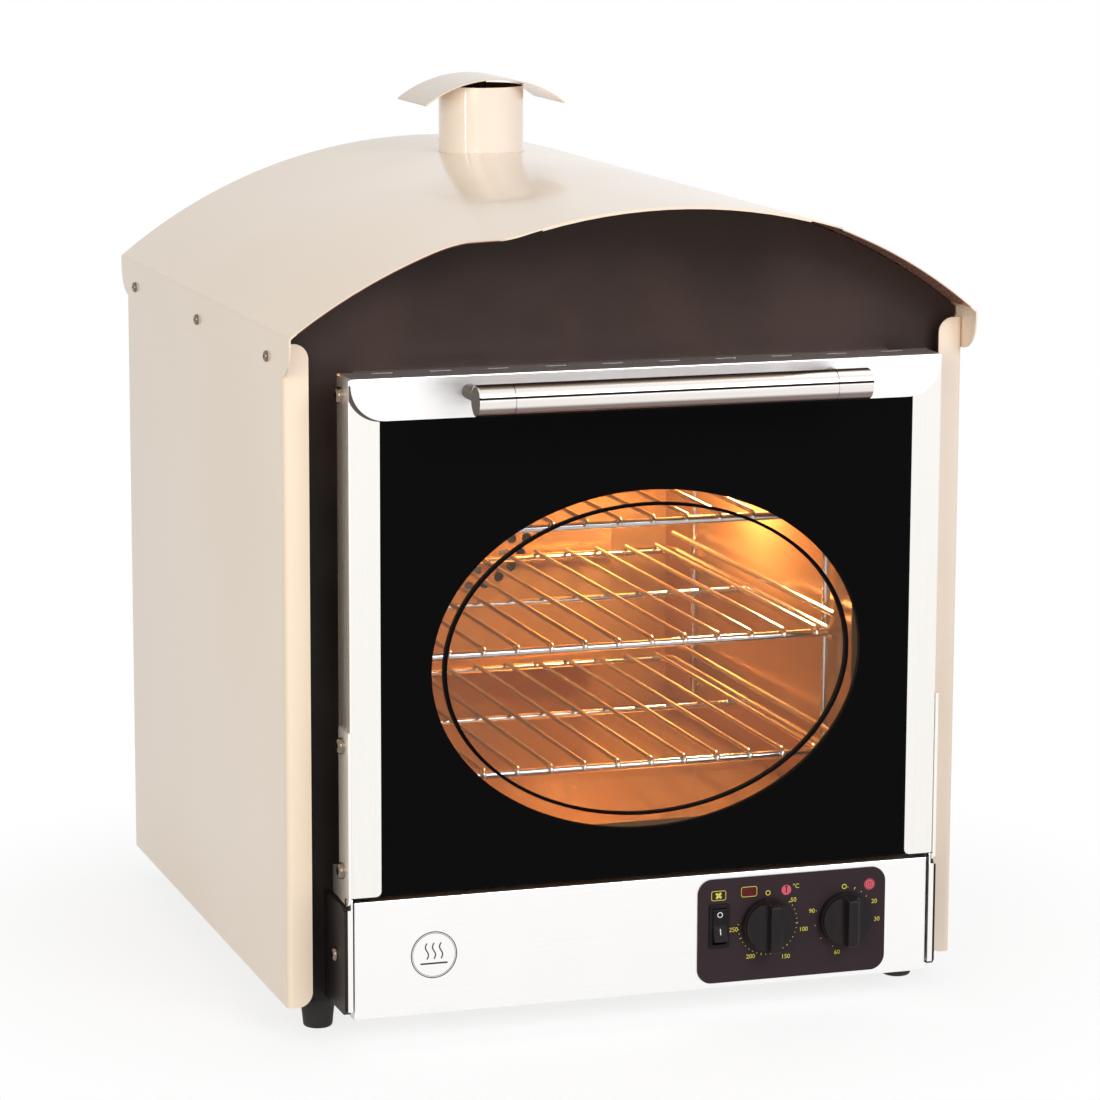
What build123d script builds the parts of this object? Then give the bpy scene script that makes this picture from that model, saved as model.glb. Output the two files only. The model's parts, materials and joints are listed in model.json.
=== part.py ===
from build123d import *
import os
from math import radians, sin, sqrt

# A counter-top baked potato oven with a drop-down glass door, in millimetres.
# The front faces -Y, +X is on the right of somebody who faces the front, and the
# origin is on the table, half-way between the handle and the roof's back edge.

os.makedirs("parts", exist_ok=True)

# ---------------------------------------------------------------- driving dimensions

# roof
roof_width = 510
roof_rise = 90.3            # crown above the side folds
fold_height = 503.5         # side folds above the table
roof_sheet = 1.2
roof_flange = 29            # drop of the side flanges
flange_corner = 24
fold_radius = 3
nose_overhang = 96          # middle of the front edge, ahead of the side panels
eave_overhang = 23          # front edge at the side folds, ahead of the side panels
eave_gain = 20.5            # how much further out the eaves are where they meet the nose
rear_overhang = 13.5
nose_half_width = 120
nose_slope = 22             # how far the ogee runs out sideways
nose_tip_radius = 16
nose_root_radius = 28
lip_half_width = 97
lip_height = 2              # nose's turned-down edge
roof_screw_drop = 19.5      # screws in the side flanges, below the folds

# casing
casing_sheet = 1.2
side_depth = 489
side_flange = 18.5
side_bend = 4.5
side_corner = 11
side_gap = 6                # side panels' top below the folds' inside
foot_height = 23
foot_radius = 13
foot_inset_x = 30
foot_inset_y = 30
base_sheet = 1.5
base_edge = 20
frame_setback = 12          # front frame behind the side panels' flanges
frame_return = 14
arch_gap = 0.5              # front frame and rear panel under the roof

# chimney
chimney_radius = 33
chimney_wall = 1.2
chimney_setback = 356       # behind the side panels' flanges
chimney_rise = 50.2         # rim above the crown
saddle_width = 12
saddle_drop = 12
cap_width = 112
cap_depth = 77
cap_rise = 18.8
flue_radius = 27
flue_wall = 1
flue_flange = 12

# oven
liner_margin = 13           # beside the shelves
liner_height = 332
liner_depth = 432
liner_sheet = 1
liner_lift = 14             # liner's underside above the door's foot line
collar_margin = 19          # beside the liner
collar_drop = 9             # collar's underside below the liner
collar_rise = 17            # collar's top above the liner
collar_reach = 9            # collar ahead of the side panels' flanges
insulation = 22
guard_size = 240
guard_depth = 36
support_width = 30

# shelves
shelf_width = 336
shelf_depth = 346
first_shelf = 51            # lowest shelf's frame above the liner's underside
top_space = 103             # highest shelf's frame below the liner's top
shelf_setback = 25          # shelf's front rail behind the side panels' flanges
frame_rod = 3               # radii of the rods and wires
shelf_wire = 1.8
wire_pitch = 25.5
rack_rod = 2.5
rack_post = 3

# door
door_width = 438
door_margin = 3.4           # door's top above the collar
door_foot = 112
door_depth = 30
door_reach = 44             # door's face ahead of the side panels' flanges
door_sheet = 1.2
stile_face = 22
stile_back = 14
rail_height = 29.8
rail_corner = 25
glass = 4
pane_margin_x = 54          # inner panel's border beside, above and below its opening
pane_margin_z = 32.7
glass_lap = 7               # inner glass beyond the opening
handle_radius = 11
handle_length = 286
handle_cap = 26
handle_reach = 47.4         # handle's axis ahead of the door's face
handle_drop = 11.7          # handle's axis below the door's top
post_radius = 5.5
pivot_drop = 3              # hinge line below the door's foot
pivot_setback = 4.5         # hinge line behind the door's face
pin_radius = 1.5
bracket_sheet = 2
bracket_rise = 118.5
bracket_width = 25
bracket_lead = 1.2          # bracket's front edge ahead of the door's face
tip_wall = 1.8              # round the hinge pin

# front of the control bay
control_width = 432
control_reach = 41.2
control_gap = 3.8           # under the door
control_sheet = 1.2
label_width = 144.5
label_height = 77
label_x = 111.2
label_corner = 11
label_sheet = 0.8
knob_radius = 19.5
knob_height = 19
knob_skirt = 5
knob_bar = 8
knob_cove = 8               # hollow flanks of the bar
thermostat_x = 92
timer_x = 151.5
shaft_radius = 3
switch_x = 55
switch_width = 15
switch_height = 32
switch_rim = 1.8
rocker_width = 10
rocker_length = 24.4
rocker_tilt = 8             # degrees each way from the middle
support_strip = 3.6
support_gap = 1.4           # beside the control panel
support_lift = 6.5          # above the control panel's foot
plate_lift = 4              # side plates above the control panel's foot
plate_depth = 4.6

# fasteners and fits
screw = 4
door_screw = 6
plate_bolt = 5
clearance = 0.3             # between pieces on different bodies
running_fit = 0.05          # radial, for shafts and pins
seat = 0.1                  # loose fit within one body

# ---------------------------------------------------------------- places worked out from them

roof_half = roof_width / 2
side_half = roof_half - roof_sheet
inner_half = side_half - casing_sheet
front = (door_reach + handle_reach + handle_radius - side_depth - rear_overhang) / 2
back = front + side_depth
roof_length = nose_overhang + side_depth + rear_overhang
nose_y = front - nose_overhang
crown = fold_height + roof_rise
roof_radius = (roof_half ** 2 + roof_rise ** 2) / (2 * roof_rise)
roof_axis = crown - roof_radius
inner_radius = roof_radius - roof_sheet
inner_fold = roof_axis + sqrt(inner_radius ** 2 - side_half ** 2)
flange_foot = fold_height - roof_flange
side_height = inner_fold - side_gap - foot_height
roof_screw_z = fold_height - roof_screw_drop
roof_screw_rows = [front + 38, front + side_depth / 2, back - 37]

frame_y = front + frame_setback
frame_back = frame_y + casing_sheet
rear_y = back - casing_sheet          # outside of the rear panel, against the rear flanges
rear_inside = rear_y - casing_sheet

door_y = front - door_reach
door_half = door_width / 2
door_height = liner_lift - liner_sheet + liner_height + collar_rise + door_margin
door_top = door_foot + door_height
door_back = door_y + door_depth
control_y = front - control_reach
control_half = control_width / 2
control_top = door_foot - control_gap
control_middle = (foot_height + control_top) / 2
label_y = control_y - label_sheet

liner_width = shelf_width + 2 * liner_margin
liner_half = liner_width / 2
collar_width = liner_width + 2 * collar_margin
liner_foot = door_foot + liner_lift - liner_sheet
liner_top = liner_foot + liner_height
collar_y = front - collar_reach
liner_y = collar_y + casing_sheet
liner_back = liner_y + liner_depth
collar_foot = liner_foot - collar_drop
collar_top = liner_top + collar_rise
chimney_y = front + chimney_setback
rim = crown + chimney_rise
fan_z = (liner_foot + liner_top) / 2
shelf_pitch = (liner_height - first_shelf - top_space) / 2


def front_plane(y):
    """A plane that faces the front at the given depth; its own y runs up."""
    return Plane.XZ.offset(-y)


def side_plane(side, x, y=0, z=0):
    """A plane that faces outwards on the left (-1) or right (+1)."""
    return Plane(origin=(side * x, y, z), x_dir=(0, 1, 0), z_dir=(side, 0, 0))


def keep(part, name):
    """Label a finished piece and write it to its own STEP file."""
    part.label = name
    export_step(part, f"parts/{name}.step")


def keep_pair(part, name):
    """Write a left-hand piece and its mirror image to two files."""
    keep(part, name + "_left")
    keep(mirror(part, about=Plane.YZ), name + "_right")


def pan_head_screw(diameter, length):
    """A cross-recessed screw whose head, twice the shank's width, stands on its own XY plane."""
    head = 0.62 * diameter
    slot = 0.22 * diameter
    with BuildPart() as body:
        Cylinder(diameter, head, align=(Align.CENTER, Align.CENTER, Align.MIN))
        fillet(body.edges().group_by(Axis.Z)[-1], 0.45 * diameter)
        Cylinder(diameter / 2, length, align=(Align.CENTER, Align.CENTER, Align.MAX))
        with Locations((0, 0, head)):
            Box(diameter, slot, head, mode=Mode.SUBTRACT)
            Box(slot, diameter, head, mode=Mode.SUBTRACT)
    return body.part


small_screw = pan_head_screw(screw, 7)
large_screw = pan_head_screw(door_screw, 8)
screw_hole = screw / 2 + seat
large_hole = door_screw / 2 + seat

# ---------------------------------------------------------------- roof

with BuildPart() as roof_panel:
    with BuildSketch(front_plane(nose_y)) as roof_outside:
        with BuildLine():
            ThreePointArc((-roof_half, fold_height), (0, crown), (roof_half, fold_height))
            Polyline((roof_half, fold_height), (roof_half, flange_foot),
                     (-roof_half, flange_foot), (-roof_half, fold_height))
        make_face()
        fillet(roof_outside.vertices().group_by(Axis.Y)[-1], fold_radius)
    extrude(amount=-roof_length)
    with BuildSketch(front_plane(nose_y)) as roof_inside:
        with BuildLine():
            ThreePointArc((-side_half, inner_fold), (0, crown - roof_sheet), (side_half, inner_fold))
            Polyline((side_half, inner_fold), (side_half, flange_foot - 1),
                     (-side_half, flange_foot - 1), (-side_half, inner_fold))
        make_face()
        fillet(roof_inside.vertices().group_by(Axis.Y)[-1], fold_radius - roof_sheet)
    extrude(amount=-roof_length, mode=Mode.SUBTRACT)

    # the front edge seen from above: slanting eaves, an ogee each side, a straight nose
    eave_x = side_half - fold_radius
    eave_y = front - eave_overhang
    root_x = nose_half_width + nose_slope
    root_y = eave_y - eave_gain
    with BuildSketch(Plane.XY.offset(flange_foot - 1)) as plan:
        with BuildLine():
            Polyline((-roof_width, eave_y), (-eave_x, eave_y), (-root_x, root_y),
                     (-nose_half_width, nose_y), (nose_half_width, nose_y),
                     (root_x, root_y), (eave_x, eave_y), (roof_width, eave_y),
                     (roof_width, roof_length), (-roof_width, roof_length), close=True)
        make_face()
        fillet(plan.vertices().group_by(Axis.Y)[1], nose_root_radius)
        fillet(plan.vertices().group_by(Axis.Y)[0], nose_tip_radius)
    extrude(amount=crown, mode=Mode.INTERSECT)

    # the nose's edge is turned down
    with BuildSketch(front_plane(nose_y)):
        with Locations((0, roof_axis)):
            Circle(roof_radius - roof_sheet / 2)
            Circle(roof_radius - lip_height, mode=Mode.SUBTRACT)
        with Locations((0, crown)):
            Rectangle(2 * lip_half_width, roof_rise, mode=Mode.INTERSECT)
    extrude(amount=-roof_sheet)

    fillet(roof_panel.edges().filter_by(Axis.X).group_by(Axis.Z)[0], flange_corner)
    with BuildSketch(Plane.XY.offset(crown + 1)):
        with Locations((0, chimney_y)):
            Circle(chimney_radius + clearance)
    extrude(amount=-roof_rise, mode=Mode.SUBTRACT)
    with BuildSketch(Plane.YZ.offset(-roof_half - 1)):
        with Locations(*[(y, roof_screw_z) for y in roof_screw_rows]):
            Circle(screw_hole)
    extrude(amount=roof_width + 2, mode=Mode.SUBTRACT)
keep(roof_panel.part, "roof_panel")

# ---------------------------------------------------------------- side panels

rear_screw_x = side_half - side_flange / 2
rear_screw_rows = [foot_height + 40, foot_height + side_height / 2, foot_height + side_height - 40]

with BuildPart() as side_panel:
    with BuildSketch(Plane.XY.offset(foot_height)):
        with Locations((-side_half + side_flange / 2, front + side_depth / 2)):
            Rectangle(side_flange, side_depth)
        with Locations((-inner_half + side_flange / 2, front + side_depth / 2)):
            Rectangle(side_flange, side_depth - 2 * casing_sheet, mode=Mode.SUBTRACT)
    extrude(amount=side_height)
    fillet(side_panel.edges().filter_by(Axis.Z).group_by(Axis.X)[1], side_bend - casing_sheet)
    fillet(side_panel.edges().filter_by(Axis.Z).group_by(Axis.X)[0], side_bend)
    fillet(side_panel.edges().filter_by(Axis.Y).group_by(Axis.X)[-1], side_corner)
    with BuildSketch(Plane.YZ.offset(-side_half - 1)):
        with Locations(*[(y, roof_screw_z) for y in roof_screw_rows]):
            Circle(screw_hole)
    extrude(amount=side_flange / 2, mode=Mode.SUBTRACT)
    with BuildSketch(front_plane(back + 1)):
        with Locations(*[(-rear_screw_x, z) for z in rear_screw_rows]):
            Circle(screw_hole)
    extrude(amount=side_flange / 2, mode=Mode.SUBTRACT)
keep_pair(side_panel.part, "side_panel")

# ---------------------------------------------------------------- base and feet

foot_places = [(x, y) for x in (-side_half + foot_inset_x, side_half - foot_inset_x)
               for y in (front + foot_inset_y, back - foot_inset_y)]
floor_slot = 60
floor_slot_width = 5

with BuildPart() as base_pan:
    with BuildSketch(Plane.XY.offset(foot_height)):
        with Locations((0, (frame_back + rear_inside) / 2)):
            Rectangle(2 * inner_half, rear_inside - frame_back)
    extrude(amount=base_edge)
    with BuildSketch(Plane.XY.offset(foot_height + base_sheet)):
        with Locations((0, (frame_back + rear_inside) / 2)):
            Rectangle(2 * (inner_half - base_sheet), rear_inside - frame_back - 2 * base_sheet)
    extrude(amount=base_edge, mode=Mode.SUBTRACT)
    fillet(base_pan.edges().filter_by(Axis.Z).group_by(Axis.X)[0], side_bend)
    fillet(base_pan.edges().filter_by(Axis.Z).group_by(Axis.X)[-1], side_bend)
    with BuildSketch(Plane.XY.offset(foot_height)):
        with GridLocations(2 * floor_slot, 4 * floor_slot_width, 3, 8):
            SlotOverall(floor_slot, floor_slot_width)
    extrude(amount=base_sheet, mode=Mode.SUBTRACT)
    with BuildSketch(Plane.XY.offset(foot_height)):
        with Locations(*foot_places):
            Circle(screw_hole)
    extrude(amount=base_sheet, mode=Mode.SUBTRACT)
keep(base_pan.part, "base_pan")

foot_recess = 6
with BuildPart() as feet:
    with BuildSketch(Plane.XY):
        with Locations(*foot_places):
            Circle(0.8 * foot_radius)
    extrude(amount=foot_height, taper=-6)
    fillet(feet.edges().group_by(Axis.Z)[0], foot_radius / 6)
    with BuildSketch(Plane.XY):
        with Locations(*foot_places):
            Circle(screw + seat)
    extrude(amount=foot_recess, mode=Mode.SUBTRACT)
    with BuildSketch(Plane.XY.offset(foot_recess)):
        with Locations(*foot_places):
            Circle(screw_hole)
    extrude(amount=foot_height, mode=Mode.SUBTRACT)
keep(feet.part, "feet")

foot_screw = pan_head_screw(screw, foot_height - foot_recess + base_edge / 2)
with BuildPart() as foot_screws:
    with Locations(*[Plane(origin=(x, y, foot_recess), z_dir=(0, 0, -1)) for x, y in foot_places]):
        add(foot_screw)
keep(foot_screws.part, "foot_screws")

# ---------------------------------------------------------------- front frame and rear panel

with BuildPart() as front_frame:
    with BuildSketch(front_plane(frame_y)) as arch:
        with Locations((0, roof_axis)):
            Circle(inner_radius - arch_gap)
        with Locations((0, foot_height)):
            Rectangle(2 * inner_half, crown, align=(Align.CENTER, Align.MIN), mode=Mode.INTERSECT)
        fillet(arch.vertices().group_by(Axis.Y)[-1], 2 * fold_radius)
    extrude(amount=-casing_sheet)
    with BuildSketch(front_plane(frame_y)):
        with Locations((0, foot_height + side_height / 2)):
            Rectangle(2 * inner_half, side_height - 2 * side_corner)
            Rectangle(2 * (inner_half - casing_sheet), side_height, mode=Mode.SUBTRACT)
    extrude(amount=-frame_return)
    with BuildSketch(front_plane(frame_y)):
        with Locations((0, (liner_foot + liner_top) / 2)):
            Rectangle(liner_width + 2 * clearance, liner_height + 2 * clearance)
        with Locations((0, (foot_height + control_top) / 2)):
            Rectangle(control_width - 2 * base_edge, control_top - foot_height - 2 * base_edge)
    extrude(amount=-frame_return, mode=Mode.SUBTRACT)
    with BuildSketch(Plane.XY.offset(foot_height)):
        with Locations((0, frame_back + side_depth / 2)):
            Rectangle(2 * inner_half, side_depth)
    extrude(amount=base_edge + 1, mode=Mode.SUBTRACT)
keep(front_frame.part, "front_frame")

vent_length = 50
vent_width = 5
vent_pitch = 14
gland_inset = 72.6
gland_x = gland_inset - inner_half
gland_rise = 50
gland_z = foot_height + gland_rise
gland_radius = 8

with BuildPart() as rear_panel:
    with BuildSketch(front_plane(rear_y)) as back_arch:
        with Locations((0, roof_axis)):
            Circle(inner_radius - arch_gap)
        with Locations((0, foot_height)):
            Rectangle(2 * (inner_half - side_bend), crown, align=(Align.CENTER, Align.MIN),
                      mode=Mode.INTERSECT)
        fillet(back_arch.vertices().group_by(Axis.Y)[-1], 2 * fold_radius)
        with Locations((0, fan_z)):
            with GridLocations(2.4 * vent_length, vent_pitch, 2, 9):
                SlotOverall(vent_length, vent_width, mode=Mode.SUBTRACT)
        with Locations((0, fold_height)):
            with GridLocations(1.6 * vent_length, vent_pitch, 4, 2):
                SlotOverall(vent_length, vent_width, mode=Mode.SUBTRACT)
        with Locations((gland_x, gland_z)):
            Circle(gland_radius + seat, mode=Mode.SUBTRACT)
        with Locations(*[(side * rear_screw_x, z) for side in (-1, 1) for z in rear_screw_rows]):
            Circle(screw_hole, mode=Mode.SUBTRACT)
    extrude(amount=casing_sheet)
keep(rear_panel.part, "rear_panel")

# ---------------------------------------------------------------- chimney and flue

saddle_radius = inner_radius - clearance
tube_inside = chimney_radius - chimney_wall

with BuildPart() as chimney_tube:
    # a saddle that follows the roof's underside carries the tube
    with BuildSketch(front_plane(chimney_y - chimney_radius - saddle_width)):
        with Locations((0, roof_axis)):
            Circle(saddle_radius)
            Circle(saddle_radius - chimney_wall, mode=Mode.SUBTRACT)
        with Locations((0, crown)):
            Rectangle(3 * chimney_radius, roof_rise, mode=Mode.INTERSECT)
    extrude(amount=-2 * (chimney_radius + saddle_width))
    with BuildSketch(Plane.XY.offset(crown - roof_rise / 2)):
        with Locations((0, chimney_y)):
            Circle(chimney_radius + saddle_width)
    extrude(amount=roof_rise, mode=Mode.INTERSECT)
    with BuildSketch(Plane.XY.offset(crown - saddle_drop)):
        with Locations((0, chimney_y)):
            Circle(chimney_radius)
    extrude(amount=saddle_drop + chimney_rise)
    with BuildSketch(Plane.XY.offset(crown - saddle_drop - 1)):
        with Locations((0, chimney_y)):
            Circle(tube_inside)
    extrude(amount=saddle_drop + chimney_rise + 2, mode=Mode.SUBTRACT)
keep(chimney_tube.part, "chimney_tube")

# the cap rests on the rim's left and right
cap_radius = (cap_width ** 2 / 4 + cap_rise ** 2) / (2 * cap_rise)
cap_inside = cap_radius - roof_sheet
cap_axis = rim + seat - sqrt(cap_inside ** 2 - chimney_radius ** 2)
cap_crown = cap_axis + cap_radius

with BuildPart() as chimney_cap:
    with BuildSketch(front_plane(chimney_y - cap_depth / 2)):
        with Locations((0, cap_axis)):
            Circle(cap_radius)
            Circle(cap_inside, mode=Mode.SUBTRACT)
        with Locations((0, cap_crown)):
            Rectangle(cap_width, 2 * cap_rise + 2 * roof_sheet, mode=Mode.INTERSECT)
    extrude(amount=-cap_depth)
keep(chimney_cap.part, "chimney_cap")

strap = 1.2
strap_width = 16
strap_half = sqrt(tube_inside ** 2 - (strap_width / 2) ** 2) - seat
strap_top = rim - 4
strap_foot = rim - 32
stud_radius = 4
with BuildPart() as cap_bracket:
    # an upturned U inside the tube, with a stud up to the cap
    with BuildSketch(front_plane(chimney_y - strap_width / 2)):
        with Locations((0, strap_top)):
            Rectangle(2 * strap_half, strap_top - strap_foot, align=(Align.CENTER, Align.MAX))
        with Locations((0, strap_top - strap)):
            Rectangle(2 * (strap_half - strap), strap_top - strap_foot, align=(Align.CENTER, Align.MAX),
                      mode=Mode.SUBTRACT)
    extrude(amount=-strap_width)
    with BuildSketch(Plane.XY.offset(strap_top)):
        with Locations((0, chimney_y)):
            Circle(stud_radius)
    extrude(amount=cap_crown - roof_sheet - 2 * seat - strap_top)
keep(cap_bracket.part, "cap_bracket")

flue_top = crown + 8
with BuildPart() as flue_duct:
    with BuildSketch(Plane.XY.offset(liner_top)):
        with Locations((0, chimney_y)):
            Circle(flue_radius + flue_flange)
    extrude(amount=flue_wall)
    with BuildSketch(Plane.XY.offset(liner_top)):
        with Locations((0, chimney_y)):
            Circle(flue_radius)
    extrude(amount=flue_top - liner_top)
    with BuildSketch(Plane.XY.offset(liner_top)):
        with Locations((0, chimney_y)):
            Circle(flue_radius - flue_wall)
    extrude(amount=flue_top - liner_top, mode=Mode.SUBTRACT)
keep(flue_duct.part, "flue_duct")

# ---------------------------------------------------------------- oven liner, collar, insulation

lamp_setback = 190
lamp_drop = 46
lamp_y = front + lamp_setback
lamp_z = liner_top - lamp_drop
lamp_radius = 25
lamp_neck = 19
element_radius = 85
element_rod = 3.5
element_lead = 16           # ahead of the liner's back
element_tail = 8            # ends of its legs, behind the insulation
element_y = liner_back - element_lead
leg_drop = 8                # element's legs from the middle of their ring, sideways
motor_hole = 14
phial_setback = 120
phial_drop = 12
phial_inset = 30
phial_x = phial_inset - liner_half
phial_y = front + phial_setback
phial_z = liner_top - phial_drop
phial_radius = 3.2

with BuildPart() as oven_liner:
    with BuildSketch(front_plane(liner_y)):
        with Locations((0, fan_z)):
            Rectangle(liner_width, liner_height)
    extrude(amount=-liner_depth)
    with BuildSketch(front_plane(liner_y)):
        with Locations((0, fan_z)):
            Rectangle(liner_width - 2 * liner_sheet, liner_height - 2 * liner_sheet)
    extrude(amount=-(liner_depth - liner_sheet), mode=Mode.SUBTRACT)
    with BuildSketch(Plane.XY.offset(liner_top)):
        with Locations((0, chimney_y)):
            Circle(flue_radius - flue_wall)
    extrude(amount=-liner_sheet, mode=Mode.SUBTRACT)
    with BuildSketch(Plane.YZ.offset(liner_half)):
        with Locations((lamp_y, lamp_z)):
            Circle(lamp_neck + seat)
    extrude(amount=-liner_sheet, mode=Mode.SUBTRACT)
    with BuildSketch(front_plane(liner_back)):
        with Locations((0, fan_z)):
            Circle(motor_hole)
        with Locations((-leg_drop, fan_z - element_radius), (leg_drop, fan_z - element_radius)):
            Circle(element_rod + seat)
    extrude(amount=liner_sheet, mode=Mode.SUBTRACT)
keep(oven_liner.part, "oven_liner")

slot_count = 10
slot_pitch = 42
slot_length = 16
slot_width = 3
collar_depth = frame_y - collar_y
with BuildPart() as oven_collar:
    with BuildSketch(front_plane(collar_y)):
        with Locations((0, (collar_foot + collar_top) / 2)):
            Rectangle(collar_width, collar_top - collar_foot)
    extrude(amount=-collar_depth)
    with BuildSketch(front_plane(liner_y)):
        with Locations((0, (collar_foot + collar_top) / 2)):
            Rectangle(collar_width - 2 * casing_sheet, collar_top - collar_foot - 2 * casing_sheet)
    extrude(amount=-collar_depth, mode=Mode.SUBTRACT)
    with BuildSketch(front_plane(collar_y)):
        with Locations((0, fan_z)):
            Rectangle(liner_width - 2 * liner_sheet, liner_height - 2 * liner_sheet)
    extrude(amount=-casing_sheet, mode=Mode.SUBTRACT)
    with BuildSketch(Plane.XY.offset(collar_top)):
        with Locations((0, (liner_y + frame_y) / 2)):
            with GridLocations(slot_pitch, 1, slot_count, 1):
                SlotOverall(slot_length, slot_width)
    extrude(amount=-casing_sheet, mode=Mode.SUBTRACT)
keep(oven_collar.part, "oven_collar")

seal_gap = collar_y - door_back
seal_radius = (seal_gap - clearance) / 2
seal_margin = 4.5
seal_half = liner_half + seal_margin
seal_foot = liner_foot - seal_margin
seal_top = liner_top + seal_margin
with BuildPart() as door_seal:
    with BuildLine(front_plane(collar_y - seal_radius)) as seal_line:
        FilletPolyline((0, seal_foot), (seal_half, seal_foot), (seal_half, seal_top), (0, seal_top),
                       radius=4 * seal_radius)
    with BuildSketch(Plane(origin=seal_line.line @ 0, z_dir=seal_line.line % 0)):
        Circle(seal_radius)
    sweep()
    mirror(about=Plane.YZ)
keep(door_seal.part, "door_seal")

side_slab = liner_half + insulation
slab_front = frame_back + base_sheet + clearance
with BuildPart() as insulation_slabs:
    with BuildSketch(front_plane(slab_front)):
        with Locations((0, liner_top + insulation / 2), (0, liner_foot - insulation / 2)):
            Rectangle(2 * side_slab, insulation)
        with Locations((-side_slab + insulation / 2, fan_z), (side_slab - insulation / 2, fan_z)):
            Rectangle(insulation, liner_height)
    extrude(amount=-(liner_back - slab_front))
    with BuildSketch(Plane.XY.offset(liner_top)):
        with Locations((0, chimney_y)):
            Circle(flue_radius + flue_flange + 1)
    extrude(amount=insulation, mode=Mode.SUBTRACT)
    with BuildSketch(Plane.YZ.offset(liner_half)):
        with Locations((lamp_y, lamp_z)):
            Circle(lamp_radius + 1)
    extrude(amount=insulation, mode=Mode.SUBTRACT)
    with BuildSketch(front_plane(liner_back)):
        with Locations((0, fan_z)):
            Rectangle(2 * side_slab, liner_height + 2 * insulation)
            Circle(motor_hole, mode=Mode.SUBTRACT)
        with Locations((0, fan_z - element_radius)):
            Rectangle(4 * leg_drop, 2 * leg_drop, mode=Mode.SUBTRACT)
    extrude(amount=-insulation)
keep(insulation_slabs.part, "insulation_slabs")

support_height = liner_foot - insulation - foot_height - base_sheet
support_x = side_slab - support_width
with BuildPart() as oven_supports:
    with BuildSketch(front_plane(slab_front)):
        with Locations((-support_x, foot_height + base_sheet + support_height / 2)):
            Rectangle(support_width, support_height)
        with Locations((-support_x + casing_sheet, foot_height + base_sheet + support_height / 2)):
            Rectangle(support_width, support_height - 2 * casing_sheet, mode=Mode.SUBTRACT)
    extrude(amount=-(liner_back - slab_front))
    mirror(about=Plane.YZ)
keep(oven_supports.part, "oven_supports")

# ---------------------------------------------------------------- shelf racks and shelves

rack_x = shelf_width / 2 + 2
rack_post_x = rack_x + rack_rod + rack_post - 0.5
stud_length = liner_half - liner_sheet - rack_post_x
rack_front = front + shelf_setback + 5
rack_back = rack_front + shelf_depth
shelf_levels = [liner_foot + first_shelf + n * shelf_pitch for n in range(3)]
rest_drop = frame_rod + rack_rod + clearance
guide_rise = 12
rack_rows = [rack_front + 30, rack_back - 35]
rack_foot = shelf_levels[0] - rest_drop - 20
rack_top = shelf_levels[-1] + guide_rise + 20

with BuildPart() as shelf_racks:
    with BuildSketch(Plane.XY.offset(rack_foot)):
        with Locations(*[(-rack_post_x, y) for y in rack_rows]):
            Circle(rack_post)
    extrude(amount=rack_top - rack_foot)
    with BuildSketch(front_plane(rack_front)):
        with Locations(*[(-rack_x, z + step) for z in shelf_levels for step in (-rest_drop, guide_rise)]):
            Circle(rack_rod)
    extrude(amount=-shelf_depth)
    with BuildSketch(Plane.YZ.offset(-rack_post_x)):
        with Locations(*[(y, z) for y in rack_rows for z in (rack_foot + 8, rack_top - 8)]):
            Circle(rack_post - 0.5)
    extrude(amount=-stud_length)
    mirror(about=Plane.YZ)
keep(shelf_racks.part, "shelf_racks")

shelf_front = front + shelf_setback
shelf_back = shelf_front + shelf_depth
wire_count = 13
curl_radius = frame_rod + shelf_wire - 0.4
curl_middle = curl_radius * sqrt(0.5)
with BuildPart() as shelf_wires:
    # one wire: straight from the back rail, then bent down over the front rail
    with BuildLine(Plane.YZ) as wire_line:
        Line((shelf_back, curl_radius), (shelf_front, curl_radius))
        ThreePointArc((shelf_front, curl_radius), (shelf_front - curl_middle, curl_middle),
                      (shelf_front - curl_radius, 0))
    with BuildSketch(Plane(origin=wire_line.line @ 0, z_dir=wire_line.line % 0)):
        Circle(shelf_wire)
    sweep()

with BuildPart() as wire_shelf:
    with BuildLine(Plane.XY) as rim_line:
        FilletPolyline((0, shelf_front), (shelf_width / 2, shelf_front), (shelf_width / 2, shelf_back),
                       (0, shelf_back), radius=4 * frame_rod)
    with BuildSketch(Plane(origin=rim_line.line @ 0, z_dir=rim_line.line % 0)):
        Circle(frame_rod)
    sweep()
    mirror(about=Plane.YZ)
    with BuildSketch(Plane.YZ.offset(-shelf_width / 2)):
        with Locations((shelf_front + shelf_depth / 2, 0)):
            Circle(frame_rod - 0.5)
    extrude(amount=shelf_width)
    with GridLocations(wire_pitch, 1, wire_count, 1):
        add(shelf_wires.part)
for level, name in zip(shelf_levels, ("bottom", "middle", "top")):
    keep(Pos(0, 0, level) * wire_shelf.part, "shelf_" + name)

# ---------------------------------------------------------------- fan, element, lamp

guard_y = liner_back - liner_sheet - guard_depth
with BuildPart() as fan_guard:
    with BuildSketch(front_plane(guard_y)):
        with Locations((0, fan_z)):
            RectangleRounded(guard_size, guard_size, 12)
    extrude(amount=-guard_depth)
    with BuildSketch(front_plane(guard_y + liner_sheet)):
        with Locations((0, fan_z)):
            RectangleRounded(guard_size - 2 * liner_sheet, guard_size - 2 * liner_sheet, 11)
    extrude(amount=-guard_depth, mode=Mode.SUBTRACT)
    with BuildSketch(front_plane(guard_y)):
        for ring, count in ((14, 6), (26, 12), (38, 18), (50, 24)):
            with Locations((0, fan_z)):
                with PolarLocations(ring, count):
                    Circle(4)
    extrude(amount=-liner_sheet, mode=Mode.SUBTRACT)
    with BuildSketch(Plane.YZ.offset(-guard_size / 2)):
        with Locations((guard_y + guard_depth / 2, fan_z)):
            with GridLocations(1, 26, 1, 8):
                Rectangle(guard_depth / 2, 12)
    extrude(amount=guard_size, mode=Mode.SUBTRACT)
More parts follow.
